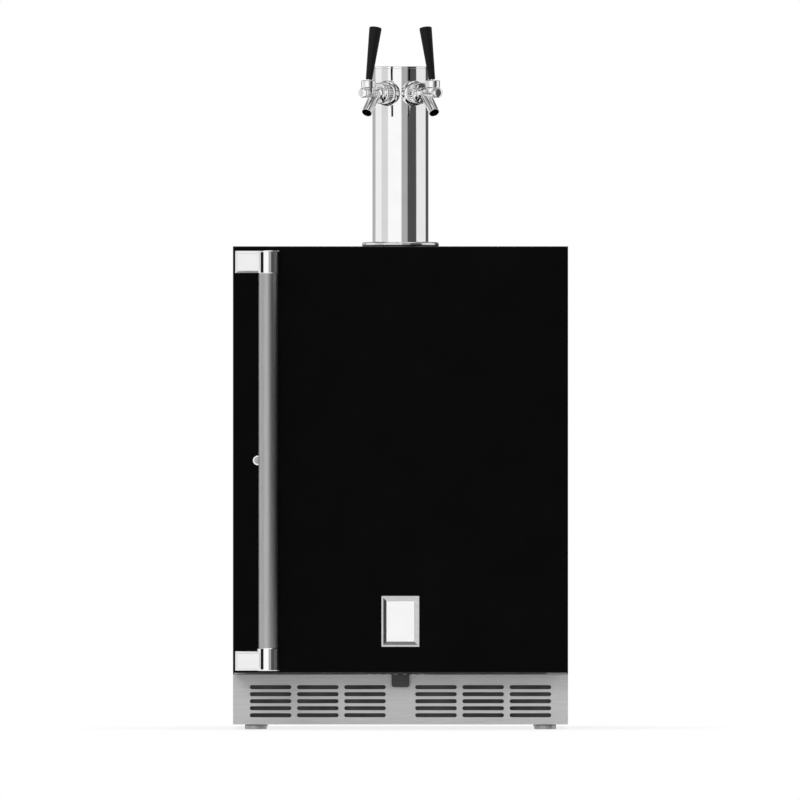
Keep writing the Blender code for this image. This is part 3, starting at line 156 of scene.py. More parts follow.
class Finish:
    """A material under construction: a Principled shader, and the effects that feed it."""

    def __init__(self, name, metallic=0.0, specular=0.5):
        self.material = bpy.data.materials.new(name)
        self.material.use_nodes = True
        self.tree = self.material.node_tree
        self.shader = self.tree.nodes["Principled BSDF"]
        self.shader.inputs["Metallic"].default_value = metallic
        self.shader.inputs["Specular IOR Level"].default_value = specular

    def effect(self, group, size, low=0.0, high=1.0):
        values = {"Size": size, "Low": low, "High": high}
        return add_node(self.tree, "ShaderNodeGroup", values, node_tree=group)

    def colour(self, source, mask, dark, light):
        """A colour between two shades, by a mask that a node puts out."""
        ramp = add_node(self.tree, "ShaderNodeValToRGB")
        for stop, shade in zip(ramp.color_ramp.elements, (dark, light)):
            stop.color = rgba(shade)
        connect(self.tree, (source, mask, ramp, "Fac"), (ramp, "Color", self.shader, "Base Color"))

    def patches(self, group, size, dark, light):
        self.colour(self.effect(group, size), "Value", dark, light)

    def roughness(self, group, size, low, high):
        connect(self.tree, (self.effect(group, size, low, high), "Value", self.shader, "Roughness"))

    def bump(self, source, height, depth):
        """A relief as deep as this, by a height that a node puts out."""
        bump = add_node(self.tree, "ShaderNodeBump", {"Distance": depth, "Strength": 1.0})
        connect(self.tree, (source, height, bump, "Height"), (bump, "Normal", self.shader, "Normal"))

    def relief(self, group, size, depth):
        self.bump(self.effect(group, size), "Height", depth)

    def cells(self, count):
        """Cells in the surface, this many to a metre."""
        place = add_node(self.tree, "ShaderNodeTexCoord")
        cells = add_node(self.tree, "ShaderNodeTexVoronoi", {"Scale": count})
        connect(self.tree, (place, "Object", cells, "Vector"))
        return cells


# Finishes

ENAMEL_CLOUD = 0.09
ENAMEL_SHEEN = 0.05
GLAZE_FROM = 0.03
GLAZE_FULL = 0.3
GLAZE_ROUGHNESS = 0.12


def sprayed_enamel(name, dark, light, specular, roughness, peel, peel_depth, glaze=0.0):
    """Baked enamel, with the orange peel that spraying leaves, and a glaze seen from the side."""
    finish = Finish(name, specular=specular)
    finish.patches(GRAIN, ENAMEL_CLOUD, dark, light)
    finish.roughness(GRAIN, ENAMEL_SHEEN, *roughness)
    finish.relief(GRAIN, peel, peel_depth)
    if glaze:
        tree = finish.tree
        slant = add_node(tree, "ShaderNodeLayerWeight")
        values = {"From Min": GLAZE_FROM, "From Max": GLAZE_FULL, "To Max": glaze}
        gloss = add_node(tree, "ShaderNodeMapRange", values)
        connect(tree, (slant, "Facing", gloss, "Value"), (gloss, "Result", finish.shader, "Coat Weight"))
        finish.shader.inputs["Coat Roughness"].default_value = GLAZE_ROUGHNESS
    return finish.material


PLATING_CLOUD = 0.03
PLATING_SHEEN = 0.012
WIPE_MARK = 0.0015
WIPE_DEPTH = 2e-6


def chrome_plate(name, dark, light, roughness):
    """Bright plating with faint wiping marks."""
    finish = Finish(name, metallic=1.0)
    finish.patches(GRAIN, PLATING_CLOUD, dark, light)
    finish.roughness(GRAIN, PLATING_SHEEN, *roughness)
    finish.relief(GRAIN, WIPE_MARK, WIPE_DEPTH)
    return finish.material


LINE_DEPTH = 1.5e-5
SHEEN_PER_LINE = 1.7


def brushed_steel(name, group, dark, light, roughness, line, metallic=1.0):
    """Stainless steel with fine lines along one direction. Less metallic makes it look more satin."""
    finish = Finish(name, metallic=metallic)
    finish.patches(group, line, dark, light)
    finish.roughness(group, line * SHEEN_PER_LINE, *roughness)
    finish.relief(group, line, LINE_DEPTH)
    return finish.material


SPANGLES = 95.0
SPANGLE_DARK = 0.34
SPANGLE_LIGHT = 0.52
ZINC_SHEEN = 0.014
ZINC_ROUGHNESS = (0.34, 0.5)
ZINC_GRAIN = 0.001
ZINC_DEPTH = 1e-5


def zinc_coated(name):
    """Galvanised sheet, with the crystal spangle of the zinc."""
    finish = Finish(name, metallic=1.0)
    finish.colour(finish.cells(SPANGLES), "Color", SPANGLE_DARK, SPANGLE_LIGHT)
    finish.roughness(GRAIN, ZINC_SHEEN, *ZINC_ROUGHNESS)
    finish.relief(GRAIN, ZINC_GRAIN, ZINC_DEPTH)
    return finish.material


PLASTIC_CLOUD = 0.04
PLASTIC_SHEEN = 0.01


def moulded_plastic(name, dark, light, roughness, grain, grain_depth, specular=0.5):
    """Moulded plastic with a fine spark-eroded grain."""
    finish = Finish(name, specular=specular)
    finish.patches(GRAIN, PLASTIC_CLOUD, dark, light)
    finish.roughness(GRAIN, PLASTIC_SHEEN, *roughness)
    finish.relief(GRAIN, grain, grain_depth)
    return finish.material


FOAM_CELLS = 520.0
FOAM_SPECULAR = 0.3
FOAM_SHEEN = 0.01
FOAM_ROUGHNESS = (0.85, 0.98)
FOAM_DEPTH = 4e-4


def cast_foam(name, dark, light):
    """Poured insulating foam, with small cells."""
    finish = Finish(name, specular=FOAM_SPECULAR)
    cells = finish.cells(FOAM_CELLS)
    finish.colour(cells, "Distance", dark, light)
    finish.roughness(GRAIN, FOAM_SHEEN, *FOAM_ROUGHNESS)
    finish.bump(cells, "Distance", FOAM_DEPTH)
    return finish.material


TURNED_PATCH = 0.006
TURNED_SHEEN = 0.004
TURNED_DEPTH = 8e-6


def turned_metal(name, dark, light, roughness):
    """Plain turned metal, a little dulled in patches."""
    finish = Finish(name, metallic=1.0)
    finish.patches(GRAIN, TURNED_PATCH, dark, light)
    finish.roughness(GRAIN, TURNED_SHEEN, *roughness)
    finish.relief(GRAIN, TURNED_PATCH, TURNED_DEPTH)
    return finish.material


DOOR_BLACK = sprayed_enamel(
    "door_black",
    0.0006,
    0.0012,
    specular=0.04,
    roughness=(0.2, 0.26),
    peel=0.0022,
    peel_depth=1.2e-5,
    glaze=0.55,
)
CABINET_BLACK = sprayed_enamel(
    "cabinet_black", 0.003, 0.004, specular=0.32, roughness=(0.36, 0.41), peel=0.0012, peel_depth=7e-5
)
BADGE_WHITE = sprayed_enamel(
    "badge_white", 0.90, 0.93, specular=0.5, roughness=(0.16, 0.26), peel=0.003, peel_depth=5e-6
)
CHROME = chrome_plate("chrome", 0.92, 0.96, roughness=(0.03, 0.07))
BRACKET_CHROME = chrome_plate("bracket_chrome", 0.85, 0.88, roughness=(0.09, 0.13))
BAR_STEEL = brushed_steel("bar_steel", BRUSHED_UPWARDS, 0.42, 0.50, roughness=(0.34, 0.42), line=0.0007)
GRILLE_STEEL = brushed_steel(
    "grille_steel", BRUSHED_ACROSS, 0.52, 0.60, roughness=(0.6, 0.72), line=0.0007, metallic=0.25
)
PLATE_STEEL = brushed_steel("plate_steel", BRUSHED_ACROSS, 0.5, 0.6, roughness=(0.3, 0.42), line=0.0009)
BADGE_NICKEL = turned_metal("badge_nickel", 0.56, 0.62, roughness=(0.1, 0.15))
LEVELLER_STEEL = turned_metal("leveller_steel", 0.32, 0.40, roughness=(0.16, 0.24))
FOOT_STEEL = turned_metal("foot_steel", 0.5, 0.62, roughness=(0.25, 0.38))
ZINC = zinc_coated("galvanised_steel")
FIN_ALUMINIUM = turned_metal("fin_aluminium", 0.62, 0.74, roughness=(0.32, 0.48))
BRASS = turned_metal("brass", (0.52, 0.36, 0.12), (0.66, 0.48, 0.2), roughness=(0.22, 0.36))
TAP_BLACK = moulded_plastic(
    "tap_handle_black", 0.006, 0.009, roughness=(0.36, 0.46), grain=0.0009, grain_depth=1.5e-5, specular=0.12
)
BLACK_PLASTIC = moulded_plastic(
    "black_plastic", 0.010, 0.016, roughness=(0.4, 0.52), grain=0.0007, grain_depth=3e-5
)
GREY_PLASTIC = moulded_plastic(
    "grey_plastic", 0.030, 0.040, roughness=(0.45, 0.58), grain=0.0007, grain_depth=2e-5
)
WHITE_PLASTIC = moulded_plastic(
    "white_plastic",
    (0.76, 0.765, 0.765),
    (0.78, 0.785, 0.785),
    roughness=(0.32, 0.38),
    grain=0.0018,
    grain_depth=2e-5,
)
SEAL_RUBBER = moulded_plastic(
    "seal_rubber", 0.022, 0.034, roughness=(0.62, 0.78), grain=0.0009, grain_depth=3e-5, specular=0.3
)
CABINET_FOAM = cast_foam("cabinet_foam", (0.60, 0.49, 0.27), (0.78, 0.68, 0.43))
DOOR_FOAM = cast_foam("door_foam", 0.012, 0.03)
# A dark matte finish for the sheet of painted shade behind the grille's slots.
SHADE_SHEET_FINISH = moulded_plastic(
    "grille_shade_black", 0.05, 0.09, roughness=(0.8, 0.95), grain=0.0012, grain_depth=3e-4, specular=0.2
)


# Mesh helpers


def arc(centre, radius, start, end, steps=ARC_STEPS):
    """Points of an arc in a profile, at angles in degrees from the +radius direction."""
    points = []
    for step in range(steps + 1):
        angle = math.radians(start + (end - start) * step / steps)
        points.append((centre[0] + radius * math.cos(angle), centre[1] + radius * math.sin(angle)))
    return points


def plain_rod(radius, low, high):
    """The profile of a rod with sharp ends."""
    return [(0.0, high), (radius, high), (radius, low), (0.0, low)]


def rounded_ring(inner, outer, low, high, edge, steps=ARC_STEPS):
    """The profile of a ring with its outer edges rounded."""
    profile = [(inner, high)]
    profile += arc((outer - edge, high - edge), edge, 90, 0, steps)
    profile += arc((outer - edge, low + edge), edge, 0, -90, steps)
    return profile + [(inner, low)]


def rounded_rod(radius, low, high, edge, steps=ARC_STEPS):
    """The profile of a rod with rounded ends."""
    return rounded_ring(0.0, radius, low, high, edge, steps)


def turned(profile, segments=FINE_ROUND, ring=False):
    """A shape turned about Z from (radius, height) points. A ring's profile is closed."""
    bm = bmesh.new()
    points = [bm.verts.new((radius, 0.0, height)) for radius, height in profile]
    edges = [bm.edges.new(pair) for pair in zip(points, points[1:])]
    if ring:
        edges.append(bm.edges.new((points[-1], points[0])))
    bmesh.ops.spin(
        bm,
        geom=points + edges,
        cent=(0.0, 0.0, 0.0),
        axis=(0.0, 0.0, 1.0),
        angle=math.tau,
        steps=segments,
        use_merge=True,
    )
    bmesh.ops.remove_doubles(bm, verts=bm.verts, dist=MERGE)
    bmesh.ops.recalc_face_normals(bm, faces=bm.faces)
    return bm


def moved(bm, matrix):
    bmesh.ops.transform(bm, matrix=matrix, verts=bm.verts)
    return bm


def rounded_edges(bm, edges, width, segments=3):
    bmesh.ops.bevel(
        bm,
        geom=edges,
        offset=width,
        segments=segments,
        profile=0.5,
        affect="EDGES",
        clamp_overlap=True,
        material=-1,
    )
    return bm


def block(low, high, rounding, segments=3):
    """A box between two corners, with all its edges rounded."""
    middle = (Vector(low) + Vector(high)) / 2
    spans = Vector(high) - Vector(low)
    bm = bmesh.new()
    matrix = Matrix.Translation(middle) @ Matrix.Diagonal((*spans, 1.0))
    bmesh.ops.create_cube(bm, size=1.0, matrix=matrix)
    return rounded_edges(bm, bm.edges[:], rounding, segments) if rounding else bm


def whole_faces(node):
    """A copy of a CAD solid with its flat faces whole again."""
    bm = bmesh.new()
    bm.from_mesh(frame["nodes"][node].data)
    bmesh.ops.remove_doubles(bm, verts=bm.verts, dist=MERGE)
    bmesh.ops.dissolve_limit(bm, angle_limit=math.radians(FLAT_ANGLE), verts=bm.verts, edges=bm.edges)
    return bm


def softened(bm, width, segments=2):
    """Rounds the corners of a shape, and leaves its flat and gently bent stretches."""
    sharp = math.radians(CORNER_ANGLE)
    corners = [edge for edge in bm.edges if edge.is_manifold and edge.calc_face_angle() > sharp]
    return rounded_edges(bm, corners, width, segments)


def in_scene(name, data):
    obj = bpy.data.objects.new(name, data)
    bpy.context.scene.collection.objects.link(obj)
    return obj


def shape_object(name, bm):
    """An object that holds a shape, which is used up."""
    mesh = bpy.data.meshes.new(name)
    bm.to_mesh(mesh)
    bm.free()
    return in_scene(name, mesh)


def combined(bm, added=(), taken=(), solver="EXACT"):
    """A shape with others welded on to it, and then others cut out of it."""
    whole = shape_object("scratch", bm)
    others = []
    for operation, shapes in (("UNION", added), ("DIFFERENCE", taken)):
        for shape in shapes:
            modifier = whole.modifiers.new(operation.lower(), "BOOLEAN")
            modifier.operation = operation
            modifier.solver = solver
            modifier.object = shape_object("scratch", shape)
            others.append(modifier.object)
    result = bmesh.new()
    result.from_object(whole, bpy.context.evaluated_depsgraph_get())
    for obj in (whole, *others):
        bpy.data.objects.remove(obj, do_unlink=True)
    return result


def body_of(node):
    return frame["nodes"][node]["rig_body"]


def middle_of(node):
    low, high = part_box(node)
    return (low + high) / 2


def radius_of(node):
    """The radius of a CAD solid that is turned about an upright or a lengthwise axis."""
    low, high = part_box(node)
    return (high.x - low.x) / 2


def add_piece(name, bm, body, material, slot, *nodes, smooth_angle=SMOOTH_ANGLE):
    """Makes a piece of a shape, rides it on a body and lets it stand for the CAD nodes it names."""
    bmesh.ops.remove_doubles(bm, verts=bm.verts, dist=MERGE)
    bmesh.ops.recalc_face_normals(bm, faces=bm.faces)
    obj = shape_object(name, bm)
    obj.data.shade_smooth()
    obj.data.set_sharp_from_angle(angle=math.radians(smooth_angle))
    obj.data.materials.append(material)
    shading = obj.modifiers.new("flat_faces_stay_flat", "WEIGHTED_NORMAL")
    shading.keep_sharp = True
    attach(obj, body)
    if nodes:
        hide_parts(*nodes)


def softened_nodes(pieces, segments):
    """Pieces that keep the shape of their CAD node, with its edges rounded."""
    for node, material, slot, edge in pieces:
        shape = softened(whole_faces(node), edge, segments)
        add_piece(f"{node}_finish", shape, body_of(node), material, slot, node)


# Cabinet

SHEET_EDGE = 0.0007
FOLD_EDGE = SHEET_EDGE / 2
KEEPER_EDGE = SHEET_EDGE / 3
MOULDED_EDGE = 0.0015
HOUSING_EDGE = MOULDED_EDGE * 2


def sheet_metal():
    """The pressed and folded pieces keep their CAD shape, with the small radius that folding leaves."""
    pieces = (
        ("left_side_panel", CABINET_BLACK, "black_enamel", SHEET_EDGE),
        ("right_side_panel", CABINET_BLACK, "black_enamel", SHEET_EDGE),
        ("top_panel", CABINET_BLACK, "black_enamel", SHEET_EDGE),
        ("base_pan", ZINC, "galvanised_steel", FOLD_EDGE),
        ("condenser_fan_shroud", ZINC, "galvanised_steel", FOLD_EDGE),
        ("keg_floor_plate", PLATE_STEEL, "satin_steel", SHEET_EDGE),
        ("kick_grille", GRILLE_STEEL, "satin_steel", FOLD_EDGE),
        ("upper_hinge_bracket", FOOT_STEEL, "satin_steel", FOLD_EDGE),
        ("lower_hinge_bracket", FOOT_STEEL, "satin_steel", FOLD_EDGE),
        ("lock_keeper", FOOT_STEEL, "satin_steel", KEEPER_EDGE),
        ("door_skin", DOOR_BLACK, "black_enamel", FOLD_EDGE),
    )
    softened_nodes(pieces, segments=2)


def mouldings():
    pieces = (
        ("inner_liner", WHITE_PLASTIC, "white_plastic", SHEET_EDGE),
        ("evaporator_cover", WHITE_PLASTIC, "white_plastic", SHEET_EDGE),
        ("control_housing", GREY_PLASTIC, "grey_plastic", HOUSING_EDGE),
        ("grille_switch_pod", GREY_PLASTIC, "grey_plastic", MOULDED_EDGE),
        ("mains_inlet", BLACK_PLASTIC, "black_plastic", SHEET_EDGE),
    )
    softened_nodes(pieces, segments=3)


def inner_nodes():
    """Pieces that only show through a slot or not at all keep their solids, under a finish of their own."""
    for node, material in (
        ("foam_insulation", CABINET_FOAM),
        ("door_core", DOOR_FOAM),
        ("condenser_coil", FIN_ALUMINIUM),
        ("evaporator_coil", FIN_ALUMINIUM),
        ("tap_shank_left", BRASS),
        ("tap_shank_right", BRASS),
        ("valve_shaft_left", FOOT_STEEL),
        ("valve_shaft_right", FOOT_STEEL),
    ):
        for slot in frame["nodes"][node].material_slots:
            slot.material = material


SCREW_RADIUS = 0.0045
SCREW_PROUD = 0.0005
SCREW_SUNK = 0.001
SCREW_SLOT_HALF = 0.0006
SCREW_SLOT_REACH = SCREW_RADIUS * 0.65
SCREW_SLOT_TOP = 0.0015
SCREW_SLOT_EDGE = 0.00015
SCREW_ROUND = 32


def screw_heads(places, turn):
    """Low screw heads with a cross slot, as one piece, at places on a face that turn makes +Z."""
    whole = bmesh.new()
    bars = ((SCREW_SLOT_REACH, SCREW_SLOT_HALF), (SCREW_SLOT_HALF, SCREW_SLOT_REACH))
    for place in places:
        head = turned(rounded_rod(SCREW_RADIUS, -SCREW_SUNK, SCREW_PROUD, SCREW_PROUD), SCREW_ROUND)
        slots = []
        for x, y in bars:
            slots.append(block((-x, -y, -SCREW_PROUD), (x, y, SCREW_SLOT_TOP), SCREW_SLOT_EDGE, 1))
        head = moved(combined(head, taken=slots), Matrix.Translation(place) @ turn)
        mesh = bpy.data.meshes.new("screw_head")
        head.to_mesh(mesh)
        head.free()
        whole.from_mesh(mesh)
        bpy.data.meshes.remove(mesh)
    return whole


# The sheet behind the grille is painted shade: it darkens the slots where only shade would show.
SHADE_SHEET_BEHIND_FACE = 0.006
SHADE_SHEET_THICKNESS = 0.002
SHADE_SHEET_MARGIN = 0.004
SHADE_SHEET_EDGE = 0.0005


def grille_shade_sheet():
    """A dark mat behind the slots of the grille: painted shade that stands for the darkness inside the slots.
    """
    low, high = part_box("kick_grille")
    front = low.y + SHADE_SHEET_BEHIND_FACE
    corners = (
        (low.x + SHADE_SHEET_MARGIN, front, low.z + SHADE_SHEET_MARGIN),
        (high.x - SHADE_SHEET_MARGIN, front + SHADE_SHEET_THICKNESS, high.z - SHADE_SHEET_MARGIN),
    )
    add_piece("grille_shade_sheet", block(*corners, SHADE_SHEET_EDGE), "cabinet", SHADE_SHEET_FINISH, "black_plastic")


BEAD_COUNT = 3
BEAD_SPACING = 0.16
BEAD_CURVE = 0.022
BEAD_DEPTH = 0.0012
BEAD_LOW = 0.24
BEAD_HIGH = 0.80
BEAD_STEPS = 16


def back_sheet():
    """The back panel, with shallow upright beads pressed into it to stiffen the sheet."""
    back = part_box("back_panel")[1].y
    beads = []
    for bead in range(BEAD_COUNT):
        x = BEAD_SPACING * (bead - (BEAD_COUNT - 1) / 2)
        rod = turned(rounded_rod(BEAD_CURVE, BEAD_LOW, BEAD_HIGH, BEAD_CURVE, BEAD_STEPS))
        beads.append(moved(rod, Matrix.Translation((x, back + BEAD_CURVE - BEAD_DEPTH, 0.0))))
    shape = combined(softened(whole_faces("back_panel"), FOLD_EDGE), taken=beads)
    add_piece("back_panel_pressed", shape, "cabinet", ZINC, "galvanised_steel", "back_panel")


INLET_PINS = {"left": (-0.007, -0.002), "earth": (0.0, 0.002), "right": (0.007, -0.002)}
PIN_HALF_WIDTH = 0.001
PIN_HALF_HEIGHT = 0.002
PIN_SUNK = 0.005
PIN_EDGE = 0.0003


def inlet_pins():
    """The three flat pins inside the mains inlet."""
    low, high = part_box("mains_inlet")
    middle = middle_of("mains_inlet")
    for name, (right, up) in INLET_PINS.items():
        x = middle.x + right
        z = middle.z + up
        corners = (
            (x - PIN_HALF_WIDTH, low.y + FIT, z - PIN_HALF_HEIGHT),
            (x + PIN_HALF_WIDTH, high.y - PIN_SUNK, z + PIN_HALF_HEIGHT),
        )
        pin = block(*corners, PIN_EDGE)
        add_piece(f"mains_inlet_pin_{name}", pin, "cabinet", FOOT_STEEL, "satin_steel")


SCREW_MARGIN = 0.012
SIDE_SCREWS = 5


def back_screws():
    low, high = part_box("back_panel")
    places = []
    for step in range(SIDE_SCREWS):
        z = low.z + SCREW_MARGIN + (high.z - low.z - 2 * SCREW_MARGIN) * step / (SIDE_SCREWS - 1)
        places += [(x, high.y - SCREW_PROUD, z) for x in (low.x + SCREW_MARGIN, high.x - SCREW_MARGIN)]
    places.append((0.0, high.y - SCREW_PROUD, high.z - SCREW_MARGIN))
    add_piece("back_panel_screws", screw_heads(places, FACING_BACK), "cabinet", FOOT_STEEL, "satin_steel")


FOOT_DISC = 0.0085
FOOT_STEM = 0.006
FOOT_TOP_EDGE = 0.0018
FOOT_LOW_EDGE = 0.0009


def levelling_feet():
    for corner in ("front_left", "front_right", "rear_left", "rear_right"):
        node = f"{corner}_foot"
        low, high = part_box(node)
        middle = middle_of(node)
        radius = radius_of(node)
        height = high.z - low.z
        profile = [(0.0, height), (FOOT_STEM, height), (FOOT_STEM, FOOT_DISC)]
        profile += arc((radius - FOOT_TOP_EDGE, FOOT_DISC - FOOT_TOP_EDGE), FOOT_TOP_EDGE, 90, 0)
        profile += arc((radius - FOOT_LOW_EDGE, FOOT_LOW_EDGE), FOOT_LOW_EDGE, 0, -90, SHORT_ARC_STEPS)
        profile += [(0.0, 0.0)]
        shape = moved(turned(profile), Matrix.Translation((middle.x, middle.y, low.z)))
        add_piece(f"{node}_turned", shape, body_of(node), LEVELLER_STEEL, "satin_steel", node)


# Cooling set

FAN_HUB = 0.014
HUB_BACK = 0.0005
HUB_FRONT = 0.0002
HUB_EDGE = 0.003
FAN_TIP = 0.0446
BLADE_COUNT = 5
BLADE_ROOT = 0.0125
# In radians: half a blade's spread at its tip, and how far the tip runs ahead of the root
BLADE_SWEEP = math.radians(26)
BLADE_LEAD = 0.18
BLADE_RISE = 0.0042
BLADE_SHEET = 0.0016
BLADE_ROWS = 10
BLADE_COLUMNS = 8
# Shares of the sweep and the rise at the blade's root, and how much of the rise is lost by its tip
ROOT_SWEEP = 0.75
ROOT_RISE = 1.1
LOST_RISE = 0.35
MOTOR_LENGTH = 0.016
MOTOR_EDGE = 0.002


def fan_blade(depth):
    """A twisted blade, fuller at the tip, as a sheet given its thickness."""
    bm = bmesh.new()
    bmesh.ops.create_grid(bm, x_segments=BLADE_ROWS, y_segments=BLADE_COLUMNS, size=0.5)
    for vert in bm.verts:
        along = vert.co.x + 0.5
        across = 2 * vert.co.y
        radius = BLADE_ROOT + (FAN_TIP - BLADE_ROOT) * along
        angle = across * BLADE_SWEEP * (ROOT_SWEEP + (1 - ROOT_SWEEP) * along) + BLADE_LEAD * along
        rise = depth / 2 - across * BLADE_RISE * (ROOT_RISE - LOST_RISE * along)
        vert.co = (radius * math.cos(angle), radius * math.sin(angle), rise)
    bmesh.ops.recalc_face_normals(bm, faces=bm.faces)
    bmesh.ops.solidify(bm, geom=bm.faces[:], thickness=BLADE_SHEET)
    return bm


def cooling_fan(node):
    low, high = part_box(node)
    middle = middle_of(node)
    depth = high.y - low.y
    hub = turned(rounded_rod(FAN_HUB, HUB_BACK, depth - HUB_FRONT, HUB_EDGE), SMALL_ROUND)
    blades = []
    for blade in range(BLADE_COUNT):
        about = Matrix.Rotation(math.tau * blade / BLADE_COUNT, 4, "Z")
        blades.append(moved(fan_blade(depth), about))
    place = Matrix.Translation((middle.x, high.y, middle.z)) @ FACING_FRONT
    shape = moved(combined(hub, added=blades, solver="MANIFOLD"), place)
    add_piece(f"{node}_moulded", shape, body_of(node), BLACK_PLASTIC, "black_plastic", node)


def fan_motor(node, axis):
    """The can of a motor, on the axis of its fan."""
    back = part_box(node)[1].y
    motor = turned(rounded_rod(radius_of(node), 0.0, MOTOR_LENGTH, MOTOR_EDGE), SMALL_ROUND)
    shape = moved(motor, Matrix.Translation((axis.x, back, axis.z)) @ FACING_FRONT)
    add_piece(f"{node}_can", shape, "cabinet", ZINC, "galvanised_steel", node)


def cooling_fans():
    for fan in ("condenser_fan", "evaporator_fan"):
        cooling_fan(fan)
        fan_motor(f"{fan}_motor", middle_of(fan))


SHELL_FLANGE = 0.012
SHELL_SHEET = 0.004
SHELL_DOME_STEPS = 12
# The welded seam of the shell: its height as a share of the whole, how proud it is, and its half heights
SEAM_SHARE = 0.52
SEAM_PROUD = 0.002
SEAM_HALF = 0.0015
SEAM_FOOT_HALF = 0.003


def compressor_shell():
    low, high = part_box("compressor")
    middle = middle_of("compressor")
    foot = radius_of("compressor")
    radius = foot - SHELL_FLANGE
    rim = radius + SEAM_PROUD
    height = high.z - low.z
    seam = height * SEAM_SHARE
    dome = radius / 2
    profile = [(0.0, height)]
    profile += arc((radius - dome, height - dome), dome, 90, 0, SHELL_DOME_STEPS)
    profile += [(radius, seam + SEAM_FOOT_HALF), (rim, seam + SEAM_HALF)]
    profile += [(rim, seam - SEAM_HALF), (radius, seam - SEAM_FOOT_HALF)]
    profile += [(radius, SHELL_SHEET), (foot, SHELL_SHEET), (foot, 0.0), (0.0, 0.0)]
    shape = moved(turned(profile), Matrix.Translation((middle.x, middle.y, low.z)))
    add_piece("compressor_shell", shape, "cabinet", CABINET_BLACK, "black_enamel", "compressor")


# Door

PANEL_FIELD = ((-0.212, 0.19), (0.248, 0.816))
PANEL_RISE = 0.005
PANEL_CORNER = 0.03
PANEL_CORNER_STEPS = 8
PANEL_EDGE = 0.0045
PANEL_EDGE_STEPS = 5


def door_lining():
    """The white inner skin of the door, with a raised field moulded in it."""
    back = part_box("door_inner_panel")[1].y
    (left, bottom), (right, top) = PANEL_FIELD
    field = block((left, back - PANEL_RISE, bottom), (right, back + PANEL_RISE, top), 0.0)
    deep = [edge for edge in field.edges if abs(edge.verts[0].co.y - edge.verts[1].co.y) > PANEL_RISE]
    rounded_edges(field, deep, PANEL_CORNER, PANEL_CORNER_STEPS)
    raised = [edge for edge in field.edges if all(vert.co.y > back for vert in edge.verts)]
    rounded_edges(field, raised, PANEL_EDGE, PANEL_EDGE_STEPS)
    skin = softened(whole_faces("door_inner_panel"), SHEET_EDGE)
    add_piece("door_inner_panel_finish", skin, "door", WHITE_PLASTIC, "white_plastic", "door_inner_panel")
    add_piece("door_inner_field", field, "door", WHITE_PLASTIC, "white_plastic")


GASKET_GROOVE_INSET = 0.006
GASKET_GROOVE = 0.002
GASKET_EDGE = 0.0008
GASKET_FLATNESS = 1e-5


def door_seal():
    """The magnetic gasket: a soft ring with a shallow channel along the face that meets the cabinet."""
    bm = whole_faces("door_gasket")
    back = max(vert.co.y for vert in bm.verts)
    face = [face for face in bm.faces if all(back - vert.co.y < GASKET_FLATNESS for vert in face.verts)]
    bmesh.ops.inset_region(bm, faces=face, thickness=GASKET_GROOVE_INSET, use_even_offset=True)
    sunk = {vert for item in face for vert in item.verts}
    bmesh.ops.translate(bm, verts=list(sunk), vec=(0.0, -GASKET_GROOVE, 0.0))
    add_piece("door_gasket_moulded", softened(bm, GASKET_EDGE), "door", SEAL_RUBBER, "rubber", "door_gasket")


BAR_EDGE = 0.001


def bar_radius():
    low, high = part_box("handle_bar")
    return (high.y - low.y) / 2


def pull_bar():
    low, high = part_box("handle_bar")
    middle = middle_of("handle_bar")
    tube = turned(rounded_rod(bar_radius(), low.z, high.z, BAR_EDGE))
    shape = moved(tube, Matrix.Translation((middle.x, middle.y, 0.0)))
    add_piece("handle_bar_tube", shape, "door", BAR_STEEL, "satin_steel", "handle_bar")


ARM_HEIGHT = 0.036
ARM_STEP = 0.0004
ARM_FOOT = 0.036
ARM_FRONT = 0.012
ARM_BACK = 0.010
ARM_CHAMFER = 0.0045
ARM_UNDERCUT = 0.0008
ARM_EDGE = 0.0006
CAP_RADIUS = 0.02049
CAP_EDGE = 0.0012
# The black strip in the groove of each cap is painted shadow: a dark line that stands for the shade in the
# gap between the arm and the cap.
SHADOW_LINE_TURN = Matrix.Rotation(math.radians(-33), 4, "Z")
SHADOW_LINE_WIDTH = 0.0064
SHADOW_LINE_DEPTH = 0.0012
SHADOW_LINE_SUNK = 0.0003
SHADOW_LINE_END = 0.0026
SHADOW_LINE_EDGE = 0.00015


def bracket_arm(left, bar, seat, low, high):
    """An L-shaped arm from the door to the bar, with a broad chamfer round its front."""
    front = bar.y - ARM_FRONT
    inner = bar.y + ARM_BACK
    right = left + ARM_FOOT
    outline = [(left, seat), (left, front), (bar.x, front), (bar.x, inner), (right, inner), (right, seat)]
    bm = bmesh.new()
    face = bm.faces.new([bm.verts.new((x, y, low)) for x, y in outline])
    grown = bmesh.ops.extrude_face_region(bm, geom=[face])["geom"]
    top = [item for item in grown if isinstance(item, bmesh.types.BMVert)]
    bmesh.ops.translate(bm, verts=top, vec=(0.0, 0.0, high - low))
    bmesh.ops.recalc_face_normals(bm, faces=bm.faces)
    around = [edge for edge in bm.edges if all(abs(vert.co.y - front) < MERGE for vert in edge.verts)]
    around = [edge for edge in around if min(vert.co.x for vert in edge.verts) < bar.x - MERGE]
    rounded_edges(bm, around, ARM_CHAMFER, 1)
    behind = front + ARM_CHAMFER
    under = [vert for vert in bm.verts if vert.co.z < low + MERGE and abs(vert.co.y - behind) < MERGE]
    bmesh.ops.translate(bm, verts=under, vec=(0.0, ARM_UNDERCUT, 0.0))
    return softened(bm, ARM_EDGE)


def bracket_cap(mouth, shut, bar_end):
    """The profile of a cup over an end of the bar, from its mouth to its shut end, with chamfered rims."""
    socket = bar_radius() + FIT
    rim = CAP_RADIUS - CAP_EDGE
    chamfer = math.copysign(CAP_EDGE, shut - mouth)
    profile = [(0.0, bar_end), (socket, bar_end), (socket, mouth), (rim, mouth)]
    profile += [(CAP_RADIUS, mouth + chamfer), (CAP_RADIUS, shut - chamfer), (rim, shut), (0.0, shut)]
    return profile


